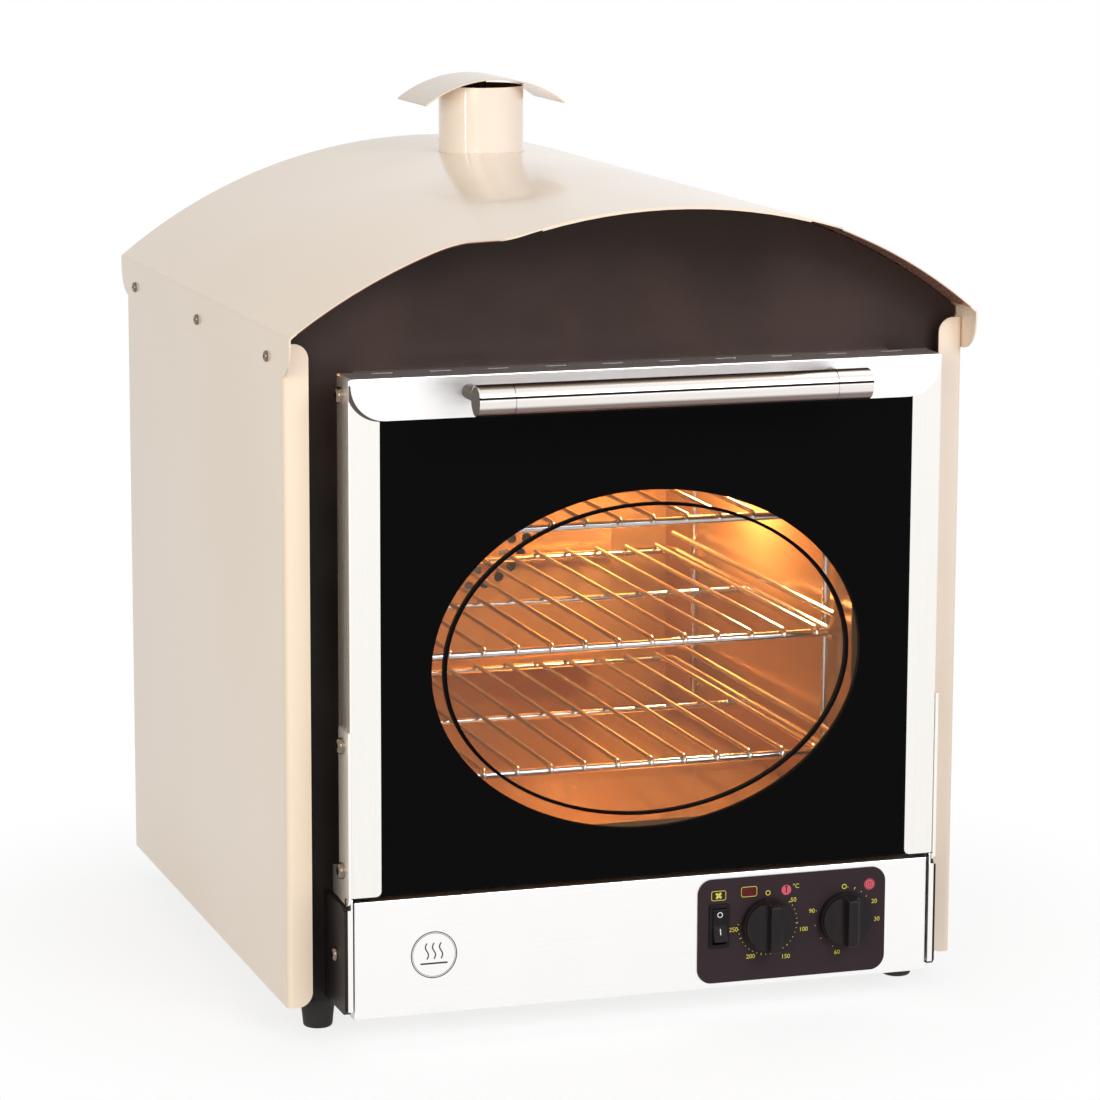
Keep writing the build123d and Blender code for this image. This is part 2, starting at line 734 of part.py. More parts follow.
keep(fan_guard.part, "fan_guard")

wheel_radius = 64
wheel_blades = 8
wheel_blade = 16
wheel_plate = 1.5
hub_radius = 9
wheel_y = liner_back - 9           # plate of the wheel, ahead of the cavity's back wall
with BuildPart() as fan_wheel:
    with BuildSketch(front_plane(wheel_y)):
        with Locations((0, fan_z)):
            Circle(wheel_radius)
            Circle(shaft_radius + seat, mode=Mode.SUBTRACT)
    extrude(amount=wheel_plate)
    with BuildSketch(front_plane(wheel_y)):
        with Locations((0, fan_z)):
            with PolarLocations(wheel_radius / 2 + hub_radius / 2, wheel_blades):
                Rectangle(wheel_radius - hub_radius - 4, wheel_plate)
    extrude(amount=wheel_blade)
    with BuildSketch(front_plane(wheel_y)):
        with Locations((0, fan_z)):
            Circle(hub_radius)
            Circle(shaft_radius + seat, mode=Mode.SUBTRACT)
    extrude(amount=wheel_blade - 2)
keep(fan_wheel.part, "fan_wheel")

motor_y = liner_back + insulation
motor_depth = 30
motor_radius = 30
shaft_back = motor_y + motor_depth - 6
with BuildPart() as fan_shaft:
    with BuildSketch(front_plane(shaft_back)):
        with Locations((0, fan_z)):
            Circle(shaft_radius)
    extrude(amount=shaft_back - wheel_y + wheel_blade - 4)
keep(fan_shaft.part, "fan_shaft")

motor_plate = 1.5
with BuildPart() as fan_motor:
    with BuildSketch(front_plane(motor_y)):
        with Locations((0, fan_z)):
            Rectangle(4 * motor_radius, 1.6 * motor_radius)
    extrude(amount=-motor_plate)
    with BuildSketch(front_plane(motor_y)):
        with Locations((0, fan_z)):
            Rectangle(2.1 * motor_radius, 1.9 * motor_radius)
    extrude(amount=-motor_depth / 2)
    with BuildSketch(front_plane(motor_y)):
        with Locations((0, fan_z)):
            Circle(motor_radius / 2)
    extrude(amount=-motor_depth)
    with BuildSketch(front_plane(motor_y)):
        with Locations((0, fan_z)):
            Circle(shaft_radius + running_fit)
    extrude(amount=-(motor_depth - 4), mode=Mode.SUBTRACT)
keep(fan_motor.part, "fan_motor")

with BuildPart() as heating_element:
    with Locations(Plane(origin=(0, element_y, fan_z), z_dir=(0, -1, 0))):
        Torus(element_radius, element_rod)
    with BuildSketch(Plane.YZ.offset(-leg_drop / 2)):
        with Locations((element_y, fan_z - element_radius)):
            Rectangle(4 * element_rod, 4 * element_rod)
    extrude(amount=leg_drop, mode=Mode.SUBTRACT)
    with BuildSketch(front_plane(element_y)):
        with Locations((-leg_drop, fan_z - element_radius), (leg_drop, fan_z - element_radius)):
            Circle(element_rod)
    extrude(amount=-(element_lead + insulation + element_tail))
keep(heating_element.part, "heating_element")

lamp_rise = 14
with BuildPart() as lamp_lens:
    with BuildSketch(Plane.XZ):
        with BuildLine():
            Polyline((lamp_radius, 0), (0, 0), (0, lamp_rise))
            ThreePointArc((0, lamp_rise), (0.75 * lamp_radius, 0.7 * lamp_rise), (lamp_radius, 3))
            Line((lamp_radius, 3), (lamp_radius, 0))
        make_face()
    revolve(axis=Axis.Z)
lamp_plane = Plane(origin=(liner_half - liner_sheet, lamp_y, lamp_z), z_dir=(-1, 0, 0))
keep(lamp_plane.location * lamp_lens.part, "lamp_lens")

with BuildPart() as lamp_holder:
    with BuildSketch(Plane.YZ.offset(liner_half - liner_sheet)):
        with Locations((lamp_y, lamp_z)):
            Circle(lamp_neck)
    extrude(amount=insulation + 12)
    fillet(lamp_holder.edges().sort_by(Axis.X)[-1], 4)
keep(lamp_holder.part, "lamp_holder")

# ---------------------------------------------------------------- front of the control bay

control_depth = frame_y - control_y
label_z = control_middle
knob_z = label_z + 2.5
switch_z = label_z + 4
lens_x = label_x - label_width / 2 + 39
lens_z = label_z + label_height / 2 - 11
lens_width = 11.5
lens_height = 6.5
bush_radius = 5
thermostat_place = (thermostat_x, knob_z)
timer_place = (timer_x, knob_z)
plate_screw = (front - 19, control_middle + 0.5)
housing_width = switch_width - 2 * switch_rim
housing_height = switch_height - 2 * switch_rim

with BuildPart() as control_panel:
    with BuildSketch(front_plane(control_y)):
        with Locations((0, control_middle)):
            Rectangle(control_width, control_top - foot_height)
    extrude(amount=-control_depth)
    fillet(control_panel.faces().sort_by(Axis.Y)[0].edges(), control_sheet)
    with BuildSketch(front_plane(control_y + control_sheet)):
        with Locations((0, control_middle)):
            Rectangle(control_width - 2 * control_sheet, control_top - foot_height - 2 * control_sheet)
    extrude(amount=-control_depth, mode=Mode.SUBTRACT)
    with BuildSketch(front_plane(control_y)):
        with Locations(thermostat_place, timer_place):
            Circle(bush_radius)
        with Locations((switch_x, switch_z)):
            Rectangle(housing_width + 2 * seat, housing_height + 2 * seat)
        with Locations((lens_x, lens_z)):
            Rectangle(lens_width - 2, lens_height - 2)
    extrude(amount=-control_sheet, mode=Mode.SUBTRACT)
    with BuildSketch(Plane.YZ.offset(-control_half - 1)):
        with Locations(plate_screw):
            Circle(plate_bolt / 2 + seat)
    extrude(amount=control_width + 2, mode=Mode.SUBTRACT)
keep(control_panel.part, "control_panel")

with BuildPart() as control_label:
    with BuildSketch(front_plane(control_y)):
        with Locations((label_x, label_z)):
            RectangleRounded(label_width, label_height, label_corner)
        with Locations(thermostat_place, timer_place):
            Circle(bush_radius, mode=Mode.SUBTRACT)
        with Locations((switch_x, switch_z)):
            Rectangle(housing_width + 2 * seat, housing_height + 2 * seat, mode=Mode.SUBTRACT)
        with Locations((lens_x, lens_z)):
            RectangleRounded(lens_width + 2 * seat, lens_height + 2 * seat, 1.5, mode=Mode.SUBTRACT)
    extrude(amount=label_sheet)
keep(control_label.part, "control_label")

with BuildPart() as heat_lens:
    with BuildSketch(front_plane(control_y)):
        with Locations((lens_x, lens_z)):
            RectangleRounded(lens_width, lens_height, 1.4)
    extrude(amount=label_sheet + 0.4)
    fillet(heat_lens.faces().sort_by(Axis.Y)[0].edges(), 0.3)
keep(heat_lens.part, "heat_lens")

# rocker switch: a housing with a rim, and a rocker on a pin
rim_y = label_y - switch_rim
pivot_depth = 5
rocker_y = rim_y + pivot_depth
well_depth = 11
housing_depth = 20
pin = 1.2
with BuildPart() as switch_housing:
    with BuildSketch(front_plane(label_y)):
        with Locations((switch_x, switch_z)):
            RectangleRounded(switch_width, switch_height, 1)
    extrude(amount=switch_rim)
    fillet(switch_housing.faces().sort_by(Axis.Y)[0].edges(), switch_rim / 3)
    with BuildSketch(front_plane(label_y)):
        with Locations((switch_x, switch_z)):
            Rectangle(housing_width, housing_height)
    extrude(amount=-housing_depth)
    with BuildSketch(front_plane(rim_y)):
        with Locations((switch_x, switch_z)):
            Rectangle(rocker_width + 2 * clearance, rocker_length + 2.6)
    extrude(amount=-well_depth, mode=Mode.SUBTRACT)
    with BuildSketch(Plane.YZ.offset(switch_x - housing_width / 2)):
        with Locations((rocker_y, switch_z)):
            Circle(pin + running_fit)
    extrude(amount=housing_width, mode=Mode.SUBTRACT)
keep(switch_housing.part, "switch_housing")

rocker_half = rocker_length / 2
rocker_face = pivot_depth + 0.8
rocker_end = rocker_face + rocker_half * sin(radians(rocker_tilt))
with BuildPart() as rocker:
    with BuildSketch(Plane.YZ.offset(-rocker_width / 2)):
        with BuildLine():
            Polyline((-rocker_end, rocker_half), (-rocker_face, 0), (-rocker_end, -rocker_half),
                     (-rocker_face / 2, -rocker_half + 1.2), (3, -4), (3, 4),
                     (-rocker_face / 2, rocker_half - 1.2), close=True)
        make_face()
    extrude(amount=rocker_width)
    fillet(rocker.edges().filter_by(Axis.X).group_by(Axis.Y)[0], 0.5)
    with BuildSketch(Plane.YZ.offset(-housing_width / 2 + seat)):
        Circle(pin)
    extrude(amount=housing_width - 2 * seat)
keep(Pos(switch_x, rocker_y, switch_z) * Rot(-rocker_tilt, 0, 0) * rocker.part, "switch_rocker")

# knobs and what they turn
knob_back = label_y - 1
with BuildPart() as knob:
    with BuildSketch(Plane.XY):
        Circle(knob_radius)
    extrude(amount=knob_skirt)
    with BuildSketch(Plane.XY.offset(knob_skirt)):
        Circle(knob_radius - 1)
    extrude(amount=knob_height - knob_skirt, taper=6)
    with BuildSketch(Plane.XZ.offset(-2 * knob_radius)):
        with Locations(*[(side * (knob_bar / 2 + knob_radius), knob_skirt + 2 + knob_radius)
                         for side in (-1, 1)]):
            RectangleRounded(2 * knob_radius, 2 * knob_radius, knob_cove)
    extrude(amount=4 * knob_radius, mode=Mode.SUBTRACT)
    fillet(knob.edges().group_by(Axis.Z)[-1], 1.2)
    with BuildSketch(Plane.XY):
        Circle(shaft_radius + seat)
    extrude(amount=knob_height - 5, mode=Mode.SUBTRACT)

control_body_width = 44
control_body_height = 34
control_body_depth = 26
shaft_depth = 14
with BuildPart() as control_body:
    with BuildSketch(Plane.XY):
        RectangleRounded(control_body_width, control_body_height, 3)
    extrude(amount=-control_body_depth)
    with BuildSketch(Plane.XY):
        Circle(bush_radius - clearance)
    extrude(amount=control_sheet + label_sheet)
    with BuildSketch(Plane.XY.offset(-shaft_depth)):
        Circle(shaft_radius + running_fit)
    extrude(amount=2 * shaft_depth, mode=Mode.SUBTRACT)

with BuildPart() as control_shaft:
    with BuildSketch(Plane.XY.offset(1 - shaft_depth)):
        Circle(shaft_radius)
    extrude(amount=shaft_depth - 1 + control_sheet + label_sheet + 1 + knob_height - 6)

bodies = []
for name, x in (("thermostat", thermostat_x), ("timer", timer_x)):
    face = Plane(origin=(x, knob_back, knob_z), x_dir=(1, 0, 0), z_dir=(0, -1, 0))
    inside = Plane(origin=(x, control_y + control_sheet, knob_z), x_dir=(1, 0, 0), z_dir=(0, -1, 0))
    keep(face.location * knob.part, name + "_knob")
    keep(inside.location * control_shaft.part, name + "_shaft")
    bodies.append(inside.location * control_body.part)
keep(Compound(bodies), "control_bodies")

# hinge supports beside the control panel, each with a dished dark plate outside it
support_in = control_half + support_gap
support_y = control_y - 1.3
support_foot = foot_height + support_lift
pivot_y = door_y + pivot_setback
pivot_z = door_foot - pivot_drop
lug_radius = pivot_drop - clearance
tip_radius = pin_radius + tip_wall
bracket_foot = pivot_z - tip_radius
support_top = pivot_z - pivot_setback - bracket_lead - clearance
with BuildPart() as hinge_supports:
    with BuildSketch(Plane.YZ.offset(-support_in - casing_sheet)):
        with BuildLine():
            Polyline((support_y, support_foot), (frame_y, support_foot), (frame_y, support_top),
                     (pivot_y + lug_radius, support_top), (pivot_y + lug_radius, pivot_z),
                     (pivot_y - lug_radius, pivot_z), (pivot_y - lug_radius, support_top),
                     (support_y, support_top), close=True)
        make_face()
        with Locations((pivot_y, pivot_z)):
            Circle(lug_radius)
            Circle(pin_radius + running_fit, mode=Mode.SUBTRACT)
        with Locations(plate_screw):
            Circle(plate_bolt / 2 + seat, mode=Mode.SUBTRACT)
    extrude(amount=casing_sheet)
    with BuildSketch(Plane.XY.offset(support_foot)):
        with Locations((-support_in - support_strip / 2, support_y + casing_sheet / 2)):
            Rectangle(support_strip, casing_sheet)
    extrude(amount=support_top - support_foot)
    mirror(about=Plane.YZ)
keep(hinge_supports.part, "hinge_supports")

plate_y = support_y + casing_sheet
plate_foot = foot_height + plate_lift
plate_top = bracket_foot - 1
plate_in = support_in + casing_sheet
with BuildPart() as side_plates:
    with BuildSketch(Plane.YZ.offset(-plate_in)):
        with BuildLine():
            Polyline((plate_y, plate_foot + 3), (plate_y + 3, plate_foot), (frame_y, plate_foot),
                     (frame_y, plate_top), (pivot_y + 4, plate_top), (pivot_y + 2, support_top - 1),
                     (plate_y, support_top - 1), close=True)
        make_face()
    extrude(amount=-plate_depth)
    offset(openings=side_plates.faces().sort_by(Axis.X)[-1], amount=-casing_sheet)
    with BuildSketch(Plane.YZ.offset(-plate_in)):
        with Locations(plate_screw):
            Circle(plate_bolt / 2 + seat)
    extrude(amount=-plate_depth, mode=Mode.SUBTRACT)
    mirror(about=Plane.YZ)
keep(side_plates.part, "side_plates")

with BuildPart() as casing_screws:
    with Locations(*[side_plane(side, roof_half, y, roof_screw_z)
                     for side in (-1, 1) for y in roof_screw_rows]):
        add(small_screw)
    with Locations(*[Plane(origin=(side * rear_screw_x, back, z), z_dir=(0, 1, 0))
                     for side in (-1, 1) for z in rear_screw_rows]):
        add(small_screw)
    with Locations(*[side_plane(side, plate_in + plate_depth, *plate_screw) for side in (-1, 1)]):
        add(pan_head_screw(plate_bolt, 10))
keep(casing_screws.part, "casing_screws")

# ---------------------------------------------------------------- door

glass_y = door_y + door_sheet                 # front of the outer glass
glass_back = glass_y + glass
panel_y = door_back - door_sheet              # front of the inner panel
stile_depth = door_depth - door_sheet
rail_foot = door_top - rail_height
rail_y = door_y - door_sheet
stile_top = door_top - door_sheet
handle_y = door_y - handle_reach
handle_z = door_top - handle_drop
post_x = handle_length / 2 - 10
bolt_radius = 3
door_screw_places = [(door_y + 20.5, handle_z - 2)]
bracket_screw_places = [(door_y + 14.3, door_foot + 106.5), (door_y + 14.3, door_foot + 17)]

with BuildPart() as door_stiles:
    with BuildSketch(Plane.XY.offset(door_foot)):
        with Locations((-door_half, door_y)):
            Rectangle(stile_face, stile_depth, align=Align.MIN)
        with Locations((-door_half + door_sheet, door_y + door_sheet)):
            Rectangle(stile_face, stile_depth - 2 * door_sheet, align=Align.MIN, mode=Mode.SUBTRACT)
        with Locations((-door_half + stile_back, door_y + door_depth / 2)):
            Rectangle(stile_face, door_depth, align=Align.MIN, mode=Mode.SUBTRACT)
    extrude(amount=stile_top - door_foot)
    with BuildSketch(front_plane(door_y)):
        with Locations((-door_half, door_foot)):
            Rectangle(stile_face, stile_top - door_foot, align=Align.MIN)
    extrude(amount=-door_sheet)
    inner_corner = door_stiles.edges().filter_by(Axis.Y).group_by(Axis.X)[-1].sort_by(Axis.Z)[0]
    fillet(inner_corner, 4)
    outer_fold = door_stiles.edges().filter_by(Axis.Z).group_by(Axis.X)[0].sort_by(Axis.Y)[0]
    fillet(outer_fold, door_sheet)
    with BuildSketch(Plane.YZ.offset(-door_half)):
        with Locations(*door_screw_places, *bracket_screw_places):
            Circle(large_hole)
    extrude(amount=door_sheet, mode=Mode.SUBTRACT)
    mirror(about=Plane.YZ)
keep(door_stiles.part, "door_stiles")

with BuildPart() as door_top_rail:
    with BuildSketch(front_plane(door_y)) as rail_face:
        with Locations((0, rail_foot)):
            Rectangle(door_width - 2 * door_sheet, rail_height, align=(Align.CENTER, Align.MIN))
        fillet(rail_face.vertices().group_by(Axis.Y)[0], rail_corner)
    extrude(amount=door_sheet)
    with BuildSketch(Plane.XY.offset(stile_top)):
        with Locations((0, rail_y)):
            Rectangle(door_width - 2 * door_sheet, panel_y - rail_y, align=(Align.CENTER, Align.MIN))
    extrude(amount=door_sheet)
    with BuildSketch(Plane.XY.offset(stile_top)):
        with Locations((0, panel_y - 7)):
            with GridLocations(slot_pitch, 1, slot_count, 1):
                SlotOverall(slot_length, slot_width)
    extrude(amount=door_sheet, mode=Mode.SUBTRACT)
    top_fold = door_top_rail.edges().filter_by(Axis.X).group_by(Axis.Z)[-1].sort_by(Axis.Y)[0]
    fillet(top_fold, door_sheet)
    with BuildSketch(front_plane(rail_y)):
        with Locations((-post_x, handle_z), (post_x, handle_z)):
            Circle(bolt_radius + seat)
    extrude(amount=-2 * door_sheet, mode=Mode.SUBTRACT)
keep(door_top_rail.part, "door_top_rail")

with BuildPart() as outer_glass:
    with BuildSketch(front_plane(glass_y)):
        with Locations((0, door_foot)):
            Rectangle(door_width - 4 * door_sheet, stile_top - 2 - door_foot,
                      align=(Align.CENTER, Align.MIN))
        with Locations((-post_x, handle_z), (post_x, handle_z)):
            Circle(bolt_radius + 1, mode=Mode.SUBTRACT)
    extrude(amount=-glass)
keep(outer_glass.part, "outer_glass")

pane_z = door_foot + door_height / 2
pane_opening_width = door_width - 2 * pane_margin_x
pane_opening_height = door_height - 2 * pane_margin_z
inner_glass_width = pane_opening_width + 2 * glass_lap
inner_glass_height = pane_opening_height + 2 * glass_lap
with BuildPart() as inner_panel:
    with BuildSketch(front_plane(panel_y)):
        with Locations((0, pane_z)):
            Rectangle(door_width, door_height)
            RectangleRounded(pane_opening_width, pane_opening_height, 20, mode=Mode.SUBTRACT)
    extrude(amount=-door_sheet)
keep(inner_panel.part, "inner_panel")

with BuildPart() as inner_glass:
    with BuildSketch(front_plane(panel_y)):
        with Locations((0, pane_z)):
            RectangleRounded(inner_glass_width, inner_glass_height, 6)
    extrude(amount=glass)
keep(inner_glass.part, "inner_glass")

clip_width = 14
clip_foot = 9
clip_grip = 4
with BuildPart() as glass_clips:
    for side in (-1, 1):
        with BuildSketch(front_plane(panel_y)):
            with Locations((side * (inner_glass_width / 2 + seat + clip_foot / 2), pane_z)):
                with GridLocations(1, pane_opening_height / 3, 1, 3):
                    Rectangle(clip_foot, clip_width)
        extrude(amount=glass + seat)
        with BuildSketch(front_plane(panel_y - glass - seat)):
            with Locations((side * (inner_glass_width / 2 + (clip_foot - clip_grip) / 2), pane_z)):
                with GridLocations(1, pane_opening_height / 3, 1, 3):
                    Rectangle(clip_foot + clip_grip, clip_width)
        extrude(amount=door_sheet)
keep(glass_clips.part, "glass_clips")

retainer_x = door_half - stile_face + 3
with BuildPart() as glass_retainers:
    with BuildSketch(Plane.XY.offset(door_foot + 12)):
        with Locations((-retainer_x, glass_back)):
            Rectangle(door_sheet, panel_y - glass_back, align=Align.MIN)
            Rectangle(stile_back, door_sheet, align=Align.MIN)
            with Locations((0, panel_y - glass_back - door_sheet)):
                Rectangle(stile_back / 2, door_sheet, align=Align.MIN)
    extrude(amount=door_height - 40)
    mirror(about=Plane.YZ)
keep(glass_retainers.part, "glass_retainers")

channel_edge = 10
channel_half = door_half - stile_back - seat
with BuildPart() as door_bottom_channel:
    with BuildSketch(Plane.YZ.offset(-channel_half)):
        with Locations((glass_back, door_foot)):
            Rectangle(panel_y - glass_back, channel_edge, align=Align.MIN)
        with Locations((glass_back + door_sheet, door_foot + door_sheet)):
            Rectangle(panel_y - glass_back - 2 * door_sheet, channel_edge, align=Align.MIN,
                      mode=Mode.SUBTRACT)
    extrude(amount=2 * channel_half)
keep(door_bottom_channel.part, "door_bottom_channel")

cap_start = handle_length / 2 - handle_cap
spigot = 12
with BuildPart() as handle_tube:
    with BuildSketch(Plane.YZ.offset(-cap_start)):
        with Locations((handle_y, handle_z)):
            Circle(handle_radius)
            Circle(handle_radius - door_sheet, mode=Mode.SUBTRACT)
    extrude(amount=2 * cap_start)
keep(handle_tube.part, "handle_tube")

post_seat = handle_radius / 2
with BuildPart() as handle_caps:
    with BuildSketch(Plane.YZ.offset(-handle_length / 2)):
        with Locations((handle_y, handle_z)):
            Circle(handle_radius)
    extrude(amount=handle_cap - 0.4)
    fillet(handle_caps.edges().group_by(Axis.X)[0], 0.8)
    fillet(handle_caps.edges().group_by(Axis.X)[-1], 0.5)
    with BuildSketch(Plane.YZ.offset(-cap_start - 1)):
        with Locations((handle_y, handle_z)):
            Circle(handle_radius - door_sheet - seat)
    extrude(amount=spigot)
    with BuildSketch(front_plane(handle_y + post_seat)):
        with Locations((-post_x, handle_z)):
            Circle(post_radius + seat)
    extrude(amount=-handle_radius, mode=Mode.SUBTRACT)
    mirror(about=Plane.YZ)
keep(handle_caps.part, "handle_caps")

post_top = handle_y + post_seat
post_bore = 15
with BuildPart() as handle_posts:
    with BuildSketch(front_plane(rail_y)):
        with Locations((-post_x, handle_z), (post_x, handle_z)):
            Circle(post_radius)
    extrude(amount=rail_y - post_top)
    with BuildSketch(front_plane(rail_y)):
        with Locations((-post_x, handle_z), (post_x, handle_z)):
            Circle(bolt_radius + running_fit)
    extrude(amount=post_bore, mode=Mode.SUBTRACT)
keep(handle_posts.part, "handle_posts")

with BuildPart() as handle_bolts:
    with BuildSketch(front_plane(glass_back)):
        with Locations((-post_x, handle_z), (post_x, handle_z)):
            RegularPolygon(2 * bolt_radius, 6)
    extrude(amount=-2 * bolt_radius)
    with BuildSketch(front_plane(glass_back)):
        with Locations((-post_x, handle_z), (post_x, handle_z)):
            Circle(bolt_radius)
    extrude(amount=glass_back - rail_y + post_bore - 2)
keep(handle_bolts.part, "handle_bolts")

bracket_y = door_y - bracket_lead
tail_back = front - 3.5
tail_top = door_foot + 15
bracket_x = door_half + bracket_sheet
with BuildPart() as hinge_brackets:
    with BuildSketch(Plane.YZ.offset(-bracket_x)):
        with BuildLine():
            Polyline((pivot_y, bracket_foot), (tail_back, bracket_foot + 2), (tail_back, tail_top),
                     (bracket_y + bracket_width, tail_top + 4),
                     (bracket_y + bracket_width, door_foot + bracket_rise),
                     (bracket_y, door_foot + bracket_rise), (bracket_y, pivot_z),
                     (pivot_y - tip_radius, pivot_z), close=True)
        make_face()
        with Locations((pivot_y, pivot_z)):
            Circle(tip_radius)
            Circle(pin_radius + seat / 2, mode=Mode.SUBTRACT)
        with Locations(*bracket_screw_places):
            Circle(large_hole, mode=Mode.SUBTRACT)
    extrude(amount=bracket_sheet)
    mirror(about=Plane.YZ)
keep(hinge_brackets.part, "hinge_brackets")

pin_head = 0.8
with BuildPart() as hinge_pins:
    with BuildSketch(Plane.YZ.offset(-bracket_x)):
        with Locations((pivot_y, pivot_z)):
            Circle(pin_radius)
    extrude(amount=bracket_x - support_in)
    with BuildSketch(Plane.YZ.offset(-bracket_x)):
        with Locations((pivot_y, pivot_z)):
            Circle(1.8 * pin_radius)
    extrude(amount=-pin_head)
    fillet(hinge_pins.edges().group_by(Axis.X)[0], pin_head / 2)
    mirror(about=Plane.YZ)
keep(hinge_pins.part, "hinge_pins")

with BuildPart() as door_screws:
    with Locations(*[side_plane(side, door_half, *place)
                     for side in (-1, 1) for place in door_screw_places]):
        add(large_screw)
    with Locations(*[side_plane(side, bracket_x, *place)
                     for side in (-1, 1) for place in bracket_screw_places]):
        add(large_screw)
keep(door_screws.part, "door_screws")

# ---------------------------------------------------------------- catch, phial, mains inlet

magnet_x = collar_width / 2 - 30
magnet_width = 24
magnet_foot = seal_top + seal_radius + 1
magnet_top = collar_top - 1
with BuildPart() as door_magnets:
    with BuildSketch(front_plane(collar_y)):
        with Locations((0, (magnet_foot + magnet_top) / 2)):
            with GridLocations(2 * magnet_x, 1, 2, 1):
                Rectangle(magnet_width, magnet_top - magnet_foot)
    extrude(amount=seal_gap - clearance)
keep(door_magnets.part, "door_magnets")

phial_length = 90
with BuildPart() as thermostat_phial:
    with BuildSketch(front_plane(phial_y)):
        with Locations((phial_x, phial_z)):
            Circle(phial_radius)
    extrude(amount=-phial_length)
    fillet(thermostat_phial.edges().filter_by(GeomType.CIRCLE), phial_radius / 2)
    with BuildSketch(Plane.XY.offset(phial_z)):
        with Locations((phial_x, phial_y + phial_length / 4), (phial_x, phial_y + 3 * phial_length / 4)):
            Circle(phial_radius / 2)
    extrude(amount=liner_top - liner_sheet - phial_z)
keep(thermostat_phial.part, "thermostat_phial")

terminal_setback = 40       # ahead of the rear panel
terminal_length = 60
terminal_width = 22
terminal_height = 20
terminal_y = rear_inside - terminal_setback
with BuildPart() as terminal_block:
    with BuildSketch(Plane.XY.offset(foot_height + base_sheet)):
        with Locations((gland_x, terminal_y)):
            Rectangle(terminal_length, terminal_width)
    extrude(amount=terminal_height)
    with BuildSketch(Plane.XY.offset(foot_height + base_sheet + 8)):
        with Locations((gland_x, terminal_y)):
            with GridLocations(12, 14, 5, 2):
                Rectangle(8, 9)
    extrude(amount=terminal_height, mode=Mode.SUBTRACT)
keep(terminal_block.part, "terminal_block")

gland_flange = 12
gland_bore = 4.5
with BuildPart() as cable_gland:
    with BuildSketch(front_plane(rear_y)):
        with Locations((gland_x, gland_z)):
            RegularPolygon(gland_flange, 6)
    extrude(amount=-5)
    with BuildSketch(front_plane(rear_y + 5)):
        with Locations((gland_x, gland_z)):
            Circle(gland_flange - 2)
    extrude(amount=-5, taper=12)
    with BuildSketch(front_plane(rear_y)):
        with Locations((gland_x, gland_z)):
            Circle(gland_radius)
    extrude(amount=casing_sheet + 9)
    with BuildSketch(front_plane(rear_inside)):
        with Locations((gland_x, gland_z)):
            RegularPolygon(gland_flange, 6)
    extrude(amount=5)
    with BuildSketch(front_plane(rear_y + 12)):
        with Locations((gland_x, gland_z)):
            Circle(gland_bore)
    extrude(amount=40, mode=Mode.SUBTRACT)
keep(cable_gland.part, "cable_gland")
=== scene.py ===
import json
import math

import bmesh
import bpy
from mathutils import Matrix, Vector


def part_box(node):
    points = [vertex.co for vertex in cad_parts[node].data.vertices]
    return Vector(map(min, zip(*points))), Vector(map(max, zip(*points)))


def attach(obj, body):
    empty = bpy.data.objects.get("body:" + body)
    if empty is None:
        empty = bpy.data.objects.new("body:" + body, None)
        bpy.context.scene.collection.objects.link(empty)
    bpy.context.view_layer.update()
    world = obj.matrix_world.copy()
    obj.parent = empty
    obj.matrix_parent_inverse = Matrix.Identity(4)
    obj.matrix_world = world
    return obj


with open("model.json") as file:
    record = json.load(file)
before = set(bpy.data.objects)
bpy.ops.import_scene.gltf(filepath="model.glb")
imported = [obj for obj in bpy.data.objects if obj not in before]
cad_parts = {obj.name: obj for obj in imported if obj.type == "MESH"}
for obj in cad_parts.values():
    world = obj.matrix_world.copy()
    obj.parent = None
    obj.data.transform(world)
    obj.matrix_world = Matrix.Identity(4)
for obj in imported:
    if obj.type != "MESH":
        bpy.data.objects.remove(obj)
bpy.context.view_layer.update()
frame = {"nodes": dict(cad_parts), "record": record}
nodes = frame["nodes"]

# ------------------------------------------------------------------ camera and light

CAMERA_PLACE = (-0.9806, -2.99265, 0.8885)
CAMERA_DIP = 10.54
CAMERA_TURN = -17.20
CAMERA_LENS = 138.4
CAMERA_SHIFT = (0.0695, 0.0016)

KEY_COLOUR = (0.97, 0.985, 1.06)
FILL_COLOUR = (1.0, 0.90, 0.66)
TOP_COLOUR = (1.0, 0.87, 0.74)
GLOW_PLACE = (0.150, 0.010, 0.360)
GLOW_COLOUR = (1.0, 0.60, 0.25)
GLOW_WATTS = 7
GLOW_RADIUS = 0.03


def set_camera():
    camera = bpy.data.objects.new("camera", bpy.data.cameras.new("camera"))
    bpy.context.scene.collection.objects.link(camera)
    camera.location = CAMERA_PLACE
    camera.rotation_euler = (math.radians(90 - CAMERA_DIP), 0, math.radians(CAMERA_TURN))
    camera.data.lens = CAMERA_LENS
    camera.data.shift_x, camera.data.shift_y = CAMERA_SHIFT
    bpy.context.scene.camera = camera
    bpy.context.scene.view_settings.view_transform = "Standard"


def soft_box(name, place, aim, width, height, watts, colour=(1, 1, 1)):
    """A rectangular studio lamp that points at a place."""
    lamp = bpy.data.lights.new(name, "AREA")
    lamp.shape = "RECTANGLE"
    lamp.size = width
    lamp.size_y = height
    lamp.energy = watts
    lamp.color = colour
    holder = bpy.data.objects.new(name, lamp)
    holder.location = place
    holder.rotation_euler = (Vector(aim) - Vector(place)).to_track_quat("-Z", "Y").to_euler()
    bpy.context.scene.collection.objects.link(holder)


